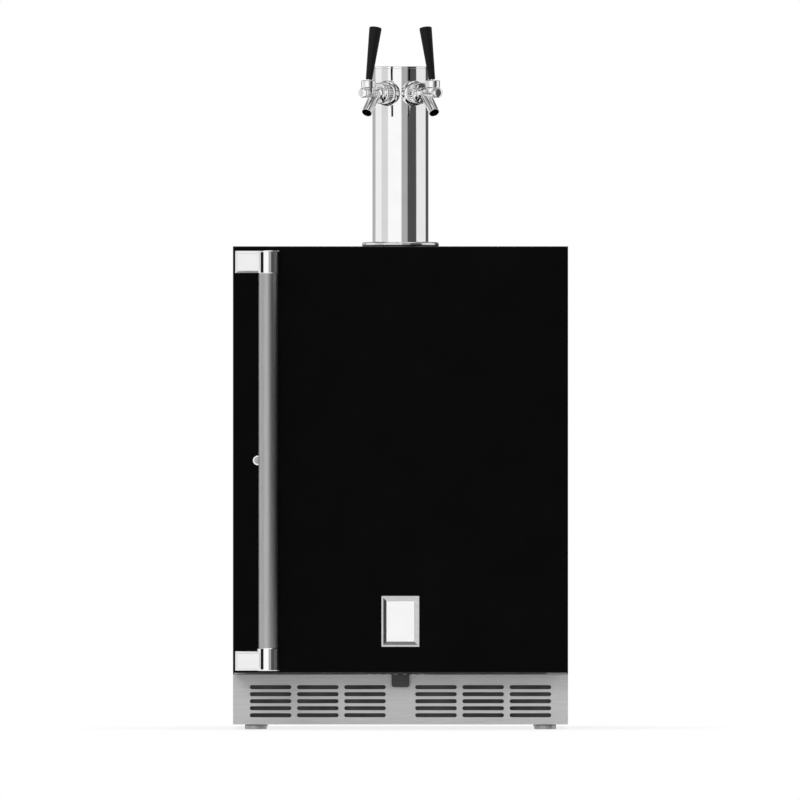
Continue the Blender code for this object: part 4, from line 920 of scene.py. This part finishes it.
def shadow_line_strip(inner, outer, width, low, high):
    """An upright strip along the line of painted shadow on the cap, which faces between the front and the
    arm, at these distances from the bar's axis.
    """
    strip = block((-width / 2, -outer, low), (width / 2, -inner, high), SHADOW_LINE_EDGE, 1)
    return moved(strip, SHADOW_LINE_TURN)


def handle_bracket(node, bar_end, away):
    """An arm, and a cap with a black strip of painted shadow in a groove. Away is 1 where the cap shuts
    upwards, else -1.
    """
    bar = middle_of("handle_bar")
    place = Matrix.Translation((bar.x, bar.y, 0.0))
    low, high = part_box(node)
    mouth, shut = (low.z, high.z) if away > 0 else (high.z, low.z)
    arm_top = high.z if away > 0 else low.z + ARM_HEIGHT
    shape = bracket_arm(low.x, bar, high.y, low.z + ARM_STEP, arm_top - ARM_STEP)
    add_piece(f"{node}_arm", shape, "door", BRACKET_CHROME, "chrome", node)

    floor = CAP_RADIUS - SHADOW_LINE_DEPTH
    ends = (low.z - away * SHADOW_LINE_END, high.z - away * SHADOW_LINE_END)
    groove = shadow_line_strip(floor, CAP_RADIUS + SHADOW_LINE_DEPTH, SHADOW_LINE_WIDTH, *ends)
    cap = turned(bracket_cap(mouth, shut, bar_end))
    shape = combined(moved(cap, place), taken=[moved(groove, place)])
    add_piece(f"{node}_cap", shape, "door", CHROME, "chrome")

    # The black strip in the groove, as painted shadow for the gap between the arm and the cap.
    ends = sorted((mouth + away * CAP_EDGE, shut - away * (SHADOW_LINE_END + FIT)))
    strip = shadow_line_strip(floor, CAP_RADIUS - SHADOW_LINE_SUNK, SHADOW_LINE_WIDTH - FIT, *ends)
    add_piece(f"{node}_painted_shadow", moved(strip, place), "door", TAP_BLACK, "black_plastic")


def handle_brackets():
    low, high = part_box("handle_bar")
    handle_bracket("upper_handle_bracket", high.z, 1)
    handle_bracket("lower_handle_bracket", low.z, -1)


BADGE_EDGE = 0.0008
BADGE_RIM = 0.0034
BADGE_SLOPE = 0.0058
PLATE_EDGE = 0.0003
MITRE_ANGLE = 12.0


def badge():
    """A bare plate in a frame that slopes down to it."""
    low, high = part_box("badge_frame")
    plate_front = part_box("badge_plate")[0].y
    shape = block(low, high, BADGE_EDGE)
    front = [max(shape.faces, key=lambda face: -face.normal.y * face.calc_area())]
    for width in (BADGE_RIM - BADGE_EDGE, BADGE_SLOPE):
        bmesh.ops.inset_region(shape, faces=front, thickness=width, use_even_offset=True)
    depth = plate_front + BADGE_EDGE - low.y
    bmesh.ops.translate(shape, verts=front[0].verts[:], vec=(0.0, depth, 0.0))
    add_piece(
        "badge_frame_mitred", shape, "door", BADGE_NICKEL, "chrome", "badge_frame", smooth_angle=MITRE_ANGLE
    )
    inset = BADGE_RIM + BADGE_SLOPE + FIT
    low = (low.x + inset, plate_front, low.z + inset)
    high = (high.x - inset, plate_front + BADGE_EDGE, high.z - inset)
    shape = block(low, high, PLATE_EDGE)
    add_piece("badge_plate_enamelled", shape, "door", BADGE_WHITE, "white_enamel", "badge_plate")


LOCK_HEAD = 0.003
LOCK_HEAD_RADIUS = 0.009
LOCK_BODY_RADIUS = 0.008
LOCK_LAND = 0.0006
LOCK_EDGE = 0.0012
PLUG_RADIUS = 0.006
PLUG_EDGE = 0.00015


def door_lock():
    low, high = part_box("lock_barrel")
    middle = middle_of("lock_barrel")
    inner = PLUG_RADIUS + FIT
    length = high.y - low.y
    ring = [(inner, length), (inner + LOCK_LAND, length)]
    ring += arc((LOCK_HEAD_RADIUS - LOCK_EDGE, length - LOCK_EDGE), LOCK_EDGE, 90, 0)
    ring += [(LOCK_HEAD_RADIUS, length - LOCK_HEAD), (LOCK_BODY_RADIUS, length - LOCK_HEAD)]
    ring += [(LOCK_BODY_RADIUS, 0.0), (inner, 0.0)]
    place = Matrix.Translation((middle.x, high.y, middle.z)) @ FACING_FRONT
    shape = moved(turned(ring, ring=True), place)
    add_piece("lock_barrel_turned", shape, "door", CHROME, "chrome", "lock_barrel")
    shape = softened(whole_faces("lock_plug"), PLUG_EDGE, 1)
    add_piece("lock_plug_finish", shape, body_of("lock_plug"), FOOT_STEEL, "satin_steel", "lock_plug")


# Tower

COLUMN_WALL = 0.002
SHANK_RADIUS = 0.011
# How far a hole for a shank reaches from the tower's axis, in radii of the column
HOLE_REACH = 1.5
FLANGE_EDGE = 0.004
FLANGE_STEPS = 10
FLANGE_SCREW_COUNT = 4
FLANGE_SCREW_CIRCLE = 0.0605
LID_EDGE = 0.0009
LID_SEAM = 0.00004


def tower_place():
    axis = middle_of("tower_column")
    return Matrix.Translation((axis.x, axis.y, 0.0))


def column_tube():
    low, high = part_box("tower_column")
    radius = radius_of("tower_column")
    inner = radius - COLUMN_WALL
    tube = turned([(inner, high.z), (radius, high.z), (radius, low.z), (inner, low.z)], ring=True)
    holes = []
    for side in ("left", "right"):
        hole = turned(plain_rod(SHANK_RADIUS + FIT, 0.0, radius * HOLE_REACH), SMALL_ROUND)
        holes.append(moved(hole, tap_frame(side) @ OUTWARDS))
    shape = combined(moved(tube, tower_place()), taken=holes)
    add_piece("tower_column_tube", shape, "cabinet", CHROME, "chrome", "tower_column")


def base_flange():
    low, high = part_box("tower_flange")
    inner = radius_of("tower_column") + FIT
    profile = rounded_ring(inner, radius_of("tower_flange"), low.z, high.z, FLANGE_EDGE, FLANGE_STEPS)
    shape = moved(turned(profile, ring=True), tower_place())
    add_piece("tower_flange_turned", shape, "cabinet", CHROME, "chrome", "tower_flange")


def flange_screws():
    axis = middle_of("tower_column")
    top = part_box("tower_flange")[1].z
    places = []
    for screw in range(FLANGE_SCREW_COUNT):
        angle = math.tau * (screw + 0.5) / FLANGE_SCREW_COUNT
        x = axis.x + FLANGE_SCREW_CIRCLE * math.cos(angle)
        places.append((x, axis.y + FLANGE_SCREW_CIRCLE * math.sin(angle), top))
    add_piece("tower_flange_screws", screw_heads(places, UPRIGHT), "cabinet", FOOT_STEEL, "satin_steel")


def column_lid():
    """The cap on the column, above a fine seam."""
    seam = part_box("tower_column")[1].z + LID_SEAM
    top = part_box("tower_cap")[1].z
    lid = turned(rounded_rod(radius_of("tower_column"), seam, top, LID_EDGE))
    add_piece("tower_cap_turned", moved(lid, tower_place()), "cabinet", CHROME, "chrome", "tower_cap")


# Taps, measured outwards from the tower's axis and upwards from the faucet's axis

PIVOT_OUT = 0.1238
PIVOT_HEIGHT = 0.017


def tap_frame(side):
    """A frame on the tower's axis at the faucet's height, with X outwards along the tap and Z upwards."""
    pivot = Vector(JOINTS[f"{side}_lever_pull"]["pos_m"])
    axis = middle_of("tower_column")
    outwards = Vector((pivot.x - axis.x, pivot.y - axis.y, 0.0)).normalized()
    upwards = Vector((0.0, 0.0, 1.0))
    turn = Matrix((outwards, upwards.cross(outwards), upwards)).transposed().to_4x4()
    return Matrix.Translation((axis.x, axis.y, pivot.z - PIVOT_HEIGHT)) @ turn


ESCUTCHEON_RADIUS = 0.0235
ESCUTCHEON_FLAT = 0.01725
ESCUTCHEON_FRONT = 0.0605
ESCUTCHEON_DOME = 0.0075
ESCUTCHEON_STEPS = 14
# Where the blank starts inside the column, as a share of the column's radius
BLANK_BACK = 0.8


def escutcheon():
    """A domed blank, cut to sit on the column and bored for the shank."""
    column = radius_of("tower_column")
    back = column * BLANK_BACK
    shoulder = ESCUTCHEON_FRONT - ESCUTCHEON_DOME
    spread = ESCUTCHEON_RADIUS - ESCUTCHEON_FLAT
    dome = arc((0.0, 0.0), 1.0, 90, 0, ESCUTCHEON_STEPS)
    profile = [(0.0, ESCUTCHEON_FRONT)]
    profile += [(ESCUTCHEON_FLAT + spread * x, shoulder + ESCUTCHEON_DOME * z) for x, z in dome]
    profile += [(ESCUTCHEON_RADIUS, back), (0.0, back)]
    reach = ESCUTCHEON_RADIUS * 2
    post = turned(plain_rod(column + FIT, -reach, reach), FINE_ROUND * 2)
    bore = turned(plain_rod(SHANK_RADIUS + FIT, 0.0, column * 2), SMALL_ROUND)
    return combined(moved(turned(profile), OUTWARDS), taken=[post, moved(bore, OUTWARDS)])


NUT_START = 0.0608
NUT_END = 0.0818
NUT_RADIUS = 0.0195
NUT_BORE = 0.0115
NUT_EDGE = 0.003
NUT_FLUTES = 24
NUT_FLUTE_DEPTH = 0.0006
SEGMENTS_PER_FLUTE = 4


def coupling_nut():
    """A union nut with shallow flutes for the fingers."""
    profile = rounded_ring(NUT_BORE, NUT_RADIUS, NUT_START, NUT_END, NUT_EDGE)
    bm = turned(profile, NUT_FLUTES * SEGMENTS_PER_FLUTE, ring=True)
    for vert in bm.verts:
        radius = math.hypot(vert.co.x, vert.co.y)
        if radius > NUT_RADIUS - NUT_EDGE / 2:
            step = math.cos(math.atan2(vert.co.y, vert.co.x) * NUT_FLUTES)
            drawn = 1.0 - NUT_FLUTE_DEPTH * max(0.0, step) / radius
            vert.co.x *= drawn
            vert.co.y *= drawn
    return moved(bm, OUTWARDS)


BARREL_START = 0.0723
BARREL_END = 0.1378
BARREL_RADIUS = 0.0088
BARREL_EDGE = 0.001
SHOULDER_END = 0.0858
NECK_START = 0.1358
NECK_END = 0.1441
NECK_RADIUS = 0.0065
NECK_EDGE = 0.0004
BOSS_RADIUS = 0.012
BOSS_TOP = 0.009
SPOUT_ROOT = 0.0948
SPOUT_DROP = 0.036
SPOUT_LENGTH = SPOUT_DROP * math.sqrt(2)
SPOUT_RADIUS = 0.0095
SPOUT_BORE = 0.0078
SPOUT_LIP = (SPOUT_RADIUS - SPOUT_BORE) / 2
SPOUT_SLOPE = Matrix.Translation((SPOUT_ROOT, 0.0, 0.0)) @ Matrix.Rotation(math.radians(135), 4, "Y")
REAR_CHAMBER = 0.0072
FRONT_CHAMBER = 0.0062
VALVE_SEAT = 0.0891
CHAMBER_START = 0.0693
CHAMBER_END = 0.1358
LEVER_BORE = 0.0088
LEVER_BORE_FLOOR = 0.0008


def faucet_barrel():
    """The profile of the barrel, with a shoulder behind the nut."""
    shoulder = NUT_BORE - FIT
    profile = [(0.0, BARREL_END)]
    rim = (BARREL_RADIUS - BARREL_EDGE, BARREL_END - BARREL_EDGE)
    profile += arc(rim, BARREL_EDGE, 90, 0, SHORT_ARC_STEPS)
    profile += [(BARREL_RADIUS, SHOULDER_END)]
    profile += arc((shoulder, SHOULDER_END), shoulder - BARREL_RADIUS, 180, 270)
    return profile + [(shoulder, BARREL_START), (0.0, BARREL_START)]


def faucet_spout():
    """The profile of the spout before it is bored."""
    lip_start = SPOUT_LENGTH - SPOUT_LIP
    profile = [(0.0, SPOUT_LENGTH)]
    profile += arc((SPOUT_RADIUS - SPOUT_LIP, lip_start), SPOUT_LIP, 90, 0, SHORT_ARC_STEPS)
    return profile + [(SPOUT_RADIUS, 0.0), (0.0, 0.0)]


def valve_chamber():
    """The profile of the bore along the barrel, wider behind the valve's seat."""
    profile = [(0.0, CHAMBER_END), (FRONT_CHAMBER, CHAMBER_END), (FRONT_CHAMBER, VALVE_SEAT)]
    return profile + [(REAR_CHAMBER, VALVE_SEAT), (REAR_CHAMBER, CHAMBER_START), (0.0, CHAMBER_START)]


def faucet_body():
    """A cast barrel with the lever's boss on top and a sloping spout, bored for the valve and the lever."""
    over_pivot = Matrix.Translation((PIVOT_OUT, 0.0, 0.0))
    neck = turned(rounded_rod(NECK_RADIUS, NECK_START, NECK_END, NECK_EDGE), SMALL_ROUND)
    boss = turned(rounded_rod(BOSS_RADIUS, 0.0, BOSS_TOP, BARREL_EDGE))
    lever_hole = turned(plain_rod(LEVER_BORE, LEVER_BORE_FLOOR, BOSS_TOP * 2))
    spout_bore = turned(plain_rod(SPOUT_BORE, SPOUT_RADIUS, SPOUT_LENGTH * 2))
    return combined(
        moved(turned(faucet_barrel()), OUTWARDS),
        added=[
            moved(neck, OUTWARDS),
            moved(boss, over_pivot),
            moved(turned(faucet_spout()), SPOUT_SLOPE),
        ],
        taken=[
            moved(turned(valve_chamber()), OUTWARDS),
            moved(lever_hole, over_pivot),
            moved(spout_bore, SPOUT_SLOPE),
        ],
        solver="MANIFOLD",
    )


FRONT_CAP_END = 0.1486
FRONT_CAP_RADIUS = 0.00875
FRONT_CAP_STEPS = 8
# The share of the front cap's radius that stays flat
FRONT_CAP_FLAT = 0.35


def front_cap():
    """The crowned button on the neck of the faucet."""
    rise = (FRONT_CAP_END - NECK_END) / 2
    profile = [(0.0, FRONT_CAP_END)]
    for x, z in arc((0.0, 0.0), 1.0, 90, 0, FRONT_CAP_STEPS):
        radius = FRONT_CAP_RADIUS * (FRONT_CAP_FLAT + (1 - FRONT_CAP_FLAT) * x)
        profile.append((radius, FRONT_CAP_END - rise + rise * z))
    profile += [(FRONT_CAP_RADIUS, NECK_END + FIT), (0.0, NECK_END + FIT)]
    return turned(profile, SMALL_ROUND)


COLLAR_RADIUS = 0.0135
COLLAR_LOW = 0.0093
COLLAR_TOP = 0.023
COLLAR_EDGE = 0.002
COLLAR_THROAT = 0.0078
COLLAR_DISH = 0.0035
COLLAR_DISH_RADIUS = 0.0105
BALL_RADIUS = 0.006
BALL_STEPS = 16


def lever_collar():
    """The ring over the lever's ball, dished on top and flared below for the lever's swing."""
    profile = rounded_ring(COLLAR_DISH_RADIUS, COLLAR_RADIUS, COLLAR_LOW, COLLAR_TOP, COLLAR_EDGE)
    profile[-1] = (COLLAR_THROAT, COLLAR_LOW)
    profile += [(BALL_RADIUS + FIT, PIVOT_HEIGHT), (BALL_RADIUS + FIT, COLLAR_TOP - COLLAR_DISH)]
    return turned(profile, ring=True)


LEVER_LEAN = math.radians(15)
LEVER_STEM = 0.003
LEVER_END = 0.034
LEVER_TIP = 0.0145
LEVER_TIP_RADIUS = 0.0024


def lever_stem():
    """The lever with its ball, measured along the lever from the pivot."""
    ball_side = math.degrees(math.asin(LEVER_STEM / BALL_RADIUS))
    profile = [(0.0, LEVER_END), (LEVER_STEM, LEVER_END)]
    profile += arc((0.0, 0.0), BALL_RADIUS, 90 - ball_side, ball_side - 90, BALL_STEPS)
    profile += [(LEVER_TIP_RADIUS, -LEVER_TIP), (0.0, -LEVER_TIP)]
    return turned(profile, SMALL_ROUND)


GRIP_START = 0.008
GRIP_END = 0.106
GRIP_FOOT_RADIUS = 0.006
GRIP_FOOT_EDGE = 0.0006
GRIP_TOP_RADIUS = 0.01135
GRIP_TOP_EDGE = 0.0014
GRIP_TOP_ARC = (80, 5)
GRIP_CROWN = 0.0009


def tap_grip():
    """The black handle on the lever. Its crown drops by a quarter half way out."""
    brim = GRIP_TOP_RADIUS - GRIP_TOP_EDGE
    bore = LEVER_STEM + FIT
    profile = [(0.0, GRIP_END), (GRIP_TOP_RADIUS / 2, GRIP_END - GRIP_CROWN / 4)]
    profile += arc((brim, GRIP_END - GRIP_CROWN - GRIP_TOP_EDGE), GRIP_TOP_EDGE, *GRIP_TOP_ARC)
    foot = GRIP_FOOT_RADIUS - GRIP_FOOT_EDGE
    profile += [(GRIP_FOOT_RADIUS, GRIP_START + GRIP_FOOT_EDGE), (foot, GRIP_START), (bore, GRIP_START)]
    profile += [(bore, LEVER_END + FIT), (0.0, LEVER_END + FIT)]
    return turned(profile)


def tap(side):
    place = tap_frame(side)
    over_pivot = place @ Matrix.Translation((PIVOT_OUT, 0.0, 0.0))
    lever = place @ Matrix.Translation((PIVOT_OUT, 0.0, PIVOT_HEIGHT)) @ Matrix.Rotation(-LEVER_LEAN, 4, "Y")
    for part, made, shape, at, body, material, slot in (
        ("escutcheon", "domed", escutcheon(), place, "cabinet", CHROME, "chrome"),
        ("coupling_nut", "fluted", coupling_nut(), place, "cabinet", CHROME, "chrome"),
        ("faucet_body", "cast", faucet_body(), place, "cabinet", CHROME, "chrome"),
        ("faucet_cap", "turned", front_cap(), place @ OUTWARDS, "cabinet", CHROME, "chrome"),
        ("lever_collar", "turned", lever_collar(), over_pivot, "cabinet", CHROME, "chrome"),
        ("tap_lever", "turned", lever_stem(), lever, f"{side}_lever", CHROME, "chrome"),
        ("tap_handle", "turned", tap_grip(), lever, f"{side}_lever", TAP_BLACK, "black_plastic"),
    ):
        node = f"{part}_{side}"
        add_piece(f"{node}_{made}", moved(shape, at), body, material, slot, node)


# Studio and camera

FRAME_PIXELS = 800
METRES_PER_PIXEL = 0.001813
CABINET_PIXEL = 400.5
FLOOR_PIXEL = 728.8
CAMERA_DISTANCE = 60.0
SENSOR_WIDTH = 36.0


def camera():
    data = bpy.data.cameras.new("camera")
    data.sensor_width = SENSOR_WIDTH
    data.lens = SENSOR_WIDTH * CAMERA_DISTANCE / (FRAME_PIXELS * METRES_PER_PIXEL)
    data.clip_end = CAMERA_DISTANCE * 2
    obj = in_scene("camera", data)
    x = (FRAME_PIXELS / 2 - CABINET_PIXEL) * METRES_PER_PIXEL
    z = (FLOOR_PIXEL - FRAME_PIXELS / 2) * METRES_PER_PIXEL
    depth = (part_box("door_skin")[0].y + middle_of("tower_column").y) / 2
    obj.location = (x, depth - CAMERA_DISTANCE, z)
    obj.rotation_euler = (math.radians(90), 0.0, 0.0)
    bpy.context.scene.camera = obj


# Sockets of a Mix node that mixes colours
MIX_FACTOR = 0
MIX_FIRST = 6
MIX_SECOND = 7
MIX_RESULT = 2

# The surround: degrees round from the camera's side, positive to the right, with the grey from there on
SURROUND = (
    (-180, 0.45),
    (-126, 0.90),
    (-85, 0.70),
    (-53, 1.00),
    (4, 0.41),
    (29, 0.075),
    (69, 0.84),
    (127, 0.08),
    (160, 0.40),
)
SURROUND_BLUR = 1.5
CEILING_GREY = 0.2
CEILING_FROM = math.sin(math.radians(24))
CEILING_FULL = math.sin(math.radians(46))
SKYLIGHT_FROM = math.sin(math.radians(62))
SKYLIGHT_FULL = math.sin(math.radians(72))


def upright_panels(tree, direction):
    """A node that puts out the greys of the surround, by the angle round from the camera's side."""
    forwards = add_node(tree, "ShaderNodeMath", {1: -1.0}, operation="MULTIPLY")
    angle = add_node(tree, "ShaderNodeMath", operation="ARCTAN2")
    share = add_node(tree, "ShaderNodeMapRange", {"From Min": -math.pi, "From Max": math.pi})
    ramp = add_node(tree, "ShaderNodeValToRGB")
    connect(
        tree,
        (direction, "Y", forwards, 0),
        (direction, "X", angle, 0),
        (forwards, "Value", angle, 1),
        (angle, "Value", share, "Value"),
        (share, "Result", ramp, "Fac"),
    )
    stops = ramp.color_ramp.elements
    last = SURROUND[0][1]
    stops[0].color = rgba(last)
    for degrees, value in SURROUND[1:]:
        at = 0.5 + degrees / 360
        stops.new(at - SURROUND_BLUR / 360).color = rgba(last)
        stops.new(at + SURROUND_BLUR / 360).color = rgba(value)
        last = value
    stops[len(stops) - 1].color = rgba(last)
    return ramp


def surround():
    """A white room with a skylight in a grey ceiling, and grey upright panels that chrome shows as bands."""
    world = bpy.data.worlds.new("surround")
    bpy.context.scene.world = world
    world.use_nodes = True
    tree = world.node_tree
    place = add_node(tree, "ShaderNodeTexCoord")
    direction = add_node(tree, "ShaderNodeSeparateXYZ")
    panels = upright_panels(tree, direction)
    overhead = add_node(tree, "ShaderNodeMapRange", {"From Min": CEILING_FROM, "From Max": CEILING_FULL})
    values = {"From Min": SKYLIGHT_FROM, "From Max": SKYLIGHT_FULL, "To Min": CEILING_GREY}
    ceiling = add_node(tree, "ShaderNodeMapRange", values)
    room = add_node(tree, "ShaderNodeMix", data_type="RGBA")
    path = add_node(tree, "ShaderNodeLightPath")
    view = add_node(tree, "ShaderNodeMix", {MIX_SECOND: rgba(1.0)}, data_type="RGBA")
    connect(
        tree,
        (place, "Generated", direction, "Vector"),
        (direction, "Z", overhead, "Value"),
        (direction, "Z", ceiling, "Value"),
        (overhead, "Result", room, MIX_FACTOR),
        (panels, "Color", room, MIX_FIRST),
        (ceiling, "Result", room, MIX_SECOND),
        (path, "Is Camera Ray", view, MIX_FACTOR),
        (room, MIX_RESULT, view, MIX_FIRST),
        (view, MIX_RESULT, tree.nodes["Background"], "Color"),
    )


FLOOR_SIZE = 3.2
FLOOR_WHITE = 0.95
FLOOR_ROUGHNESS = 0.9
FLOOR_GLOW = 0.78
FLOOR_SHADED = 0.42
FLOOR_FADED = 0.8


def seen_directly(tree):
    """A node that puts out 1 for what the camera, metal and glass see, and 0 for light on surfaces."""
    path = add_node(tree, "ShaderNodeLightPath")
    either = add_node(tree, "ShaderNodeMath", operation="MAXIMUM")
    seen = add_node(tree, "ShaderNodeMath", operation="MAXIMUM")
    connect(
        tree,
        (path, "Is Camera Ray", either, 0),
        (path, "Is Transmission Ray", either, 1),
        (either, "Value", seen, 0),
        (path, "Is Glossy Ray", seen, 1),
    )
    return seen


def floor_finish():
    """White that takes the shadow near the object and glows as plain white away from it."""
    finish = Finish("floor_white", specular=0.0)
    finish.shader.inputs["Base Color"].default_value = rgba(FLOOR_WHITE)
    finish.shader.inputs["Roughness"].default_value = FLOOR_ROUGHNESS
    tree = finish.tree
    glow = add_node(tree, "ShaderNodeEmission")
    place = add_node(tree, "ShaderNodeTexCoord")
    away = add_node(tree, "ShaderNodeVectorMath", operation="LENGTH")
    values = {"From Min": FLOOR_SHADED, "From Max": FLOOR_FADED, "To Min": FLOOR_GLOW}
    fade = add_node(tree, "ShaderNodeMapRange", values, interpolation_type="SMOOTHSTEP")
    share = add_node(tree, "ShaderNodeMath", operation="MULTIPLY")
    mix = add_node(tree, "ShaderNodeMixShader")
    connect(
        tree,
        (place, "Object", away, 0),
        (away, "Value", fade, "Value"),
        (fade, "Result", share, 0),
        (seen_directly(tree), "Value", share, 1),
        (share, "Value", mix, "Fac"),
        (finish.shader, "BSDF", mix, 1),
        (glow, "Emission", mix, 2),
        (mix, "Shader", tree.nodes["Material Output"], "Surface"),
    )
    return finish.material


def studio_floor():
    bm = bmesh.new()
    bmesh.ops.create_grid(bm, x_segments=1, y_segments=1, size=FLOOR_SIZE / 2)
    obj = shape_object("floor", bm)
    obj.data.materials.append(floor_finish())


CARD_X = 0.5
CARD_FRONT = -0.72
CARD_BACK = -0.25
CARD_SHEET = 0.01
CARD_EDGE = 0.0003
CARD_GREY = moulded_plastic(
    "card_grey", 0.11, 0.121, roughness=(0.9, 0.95), grain=0.001, grain_depth=1e-5, specular=0.1
)


def side_card():
    """A dark card to the right of the door and as high, which shows only in the metal of the handle."""
    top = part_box("door_skin")[1].z
    corners = ((CARD_X, CARD_FRONT, FIT), (CARD_X + CARD_SHEET, CARD_BACK, top))
    obj = shape_object("side_card", block(*corners, CARD_EDGE, 1))
    obj.data.materials.append(CARD_GREY)
    obj.visible_camera = False
    obj.visible_diffuse = False
    obj.visible_shadow = False
    obj.visible_transmission = False


# The lamps, all aimed at one point: name, place, size and watts
LAMP_AIM = Vector((0.0, 0.0, 0.6))
LAMPS = (
    ("key_lamp", (-2.6, -3.6, 3.2), 2.4, 96.0),
    ("fill_lamp", (3.2, -3.2, 2.6), 2.4, 40.0),
    ("top_lamp", (0.0, 0.2, 4.2), 2.6, 60.0),
    ("back_lamp", (1.2, 4.0, 2.8), 2.4, 55.0),
)


def lamps():
    for name, place, size, watts in LAMPS:
        data = bpy.data.lights.new(name, "AREA")
        data.size = size
        data.energy = watts
        obj = in_scene(name, data)
        obj.location = place
        obj.rotation_euler = (LAMP_AIM - Vector(place)).to_track_quat("-Z", "Y").to_euler()
        obj.visible_glossy = False


camera()
sheet_metal()
mouldings()
inner_nodes()
grille_shade_sheet()
back_sheet()
inlet_pins()
back_screws()
levelling_feet()
cooling_fans()
compressor_shell()
door_lining()
door_seal()
pull_bar()
handle_brackets()
badge()
door_lock()
column_tube()
base_flange()
flange_screws()
column_lid()
tap("left")
tap("right")
surround()
studio_floor()
side_card()
lamps()
bpy.context.scene.view_settings.view_transform = "Standard"
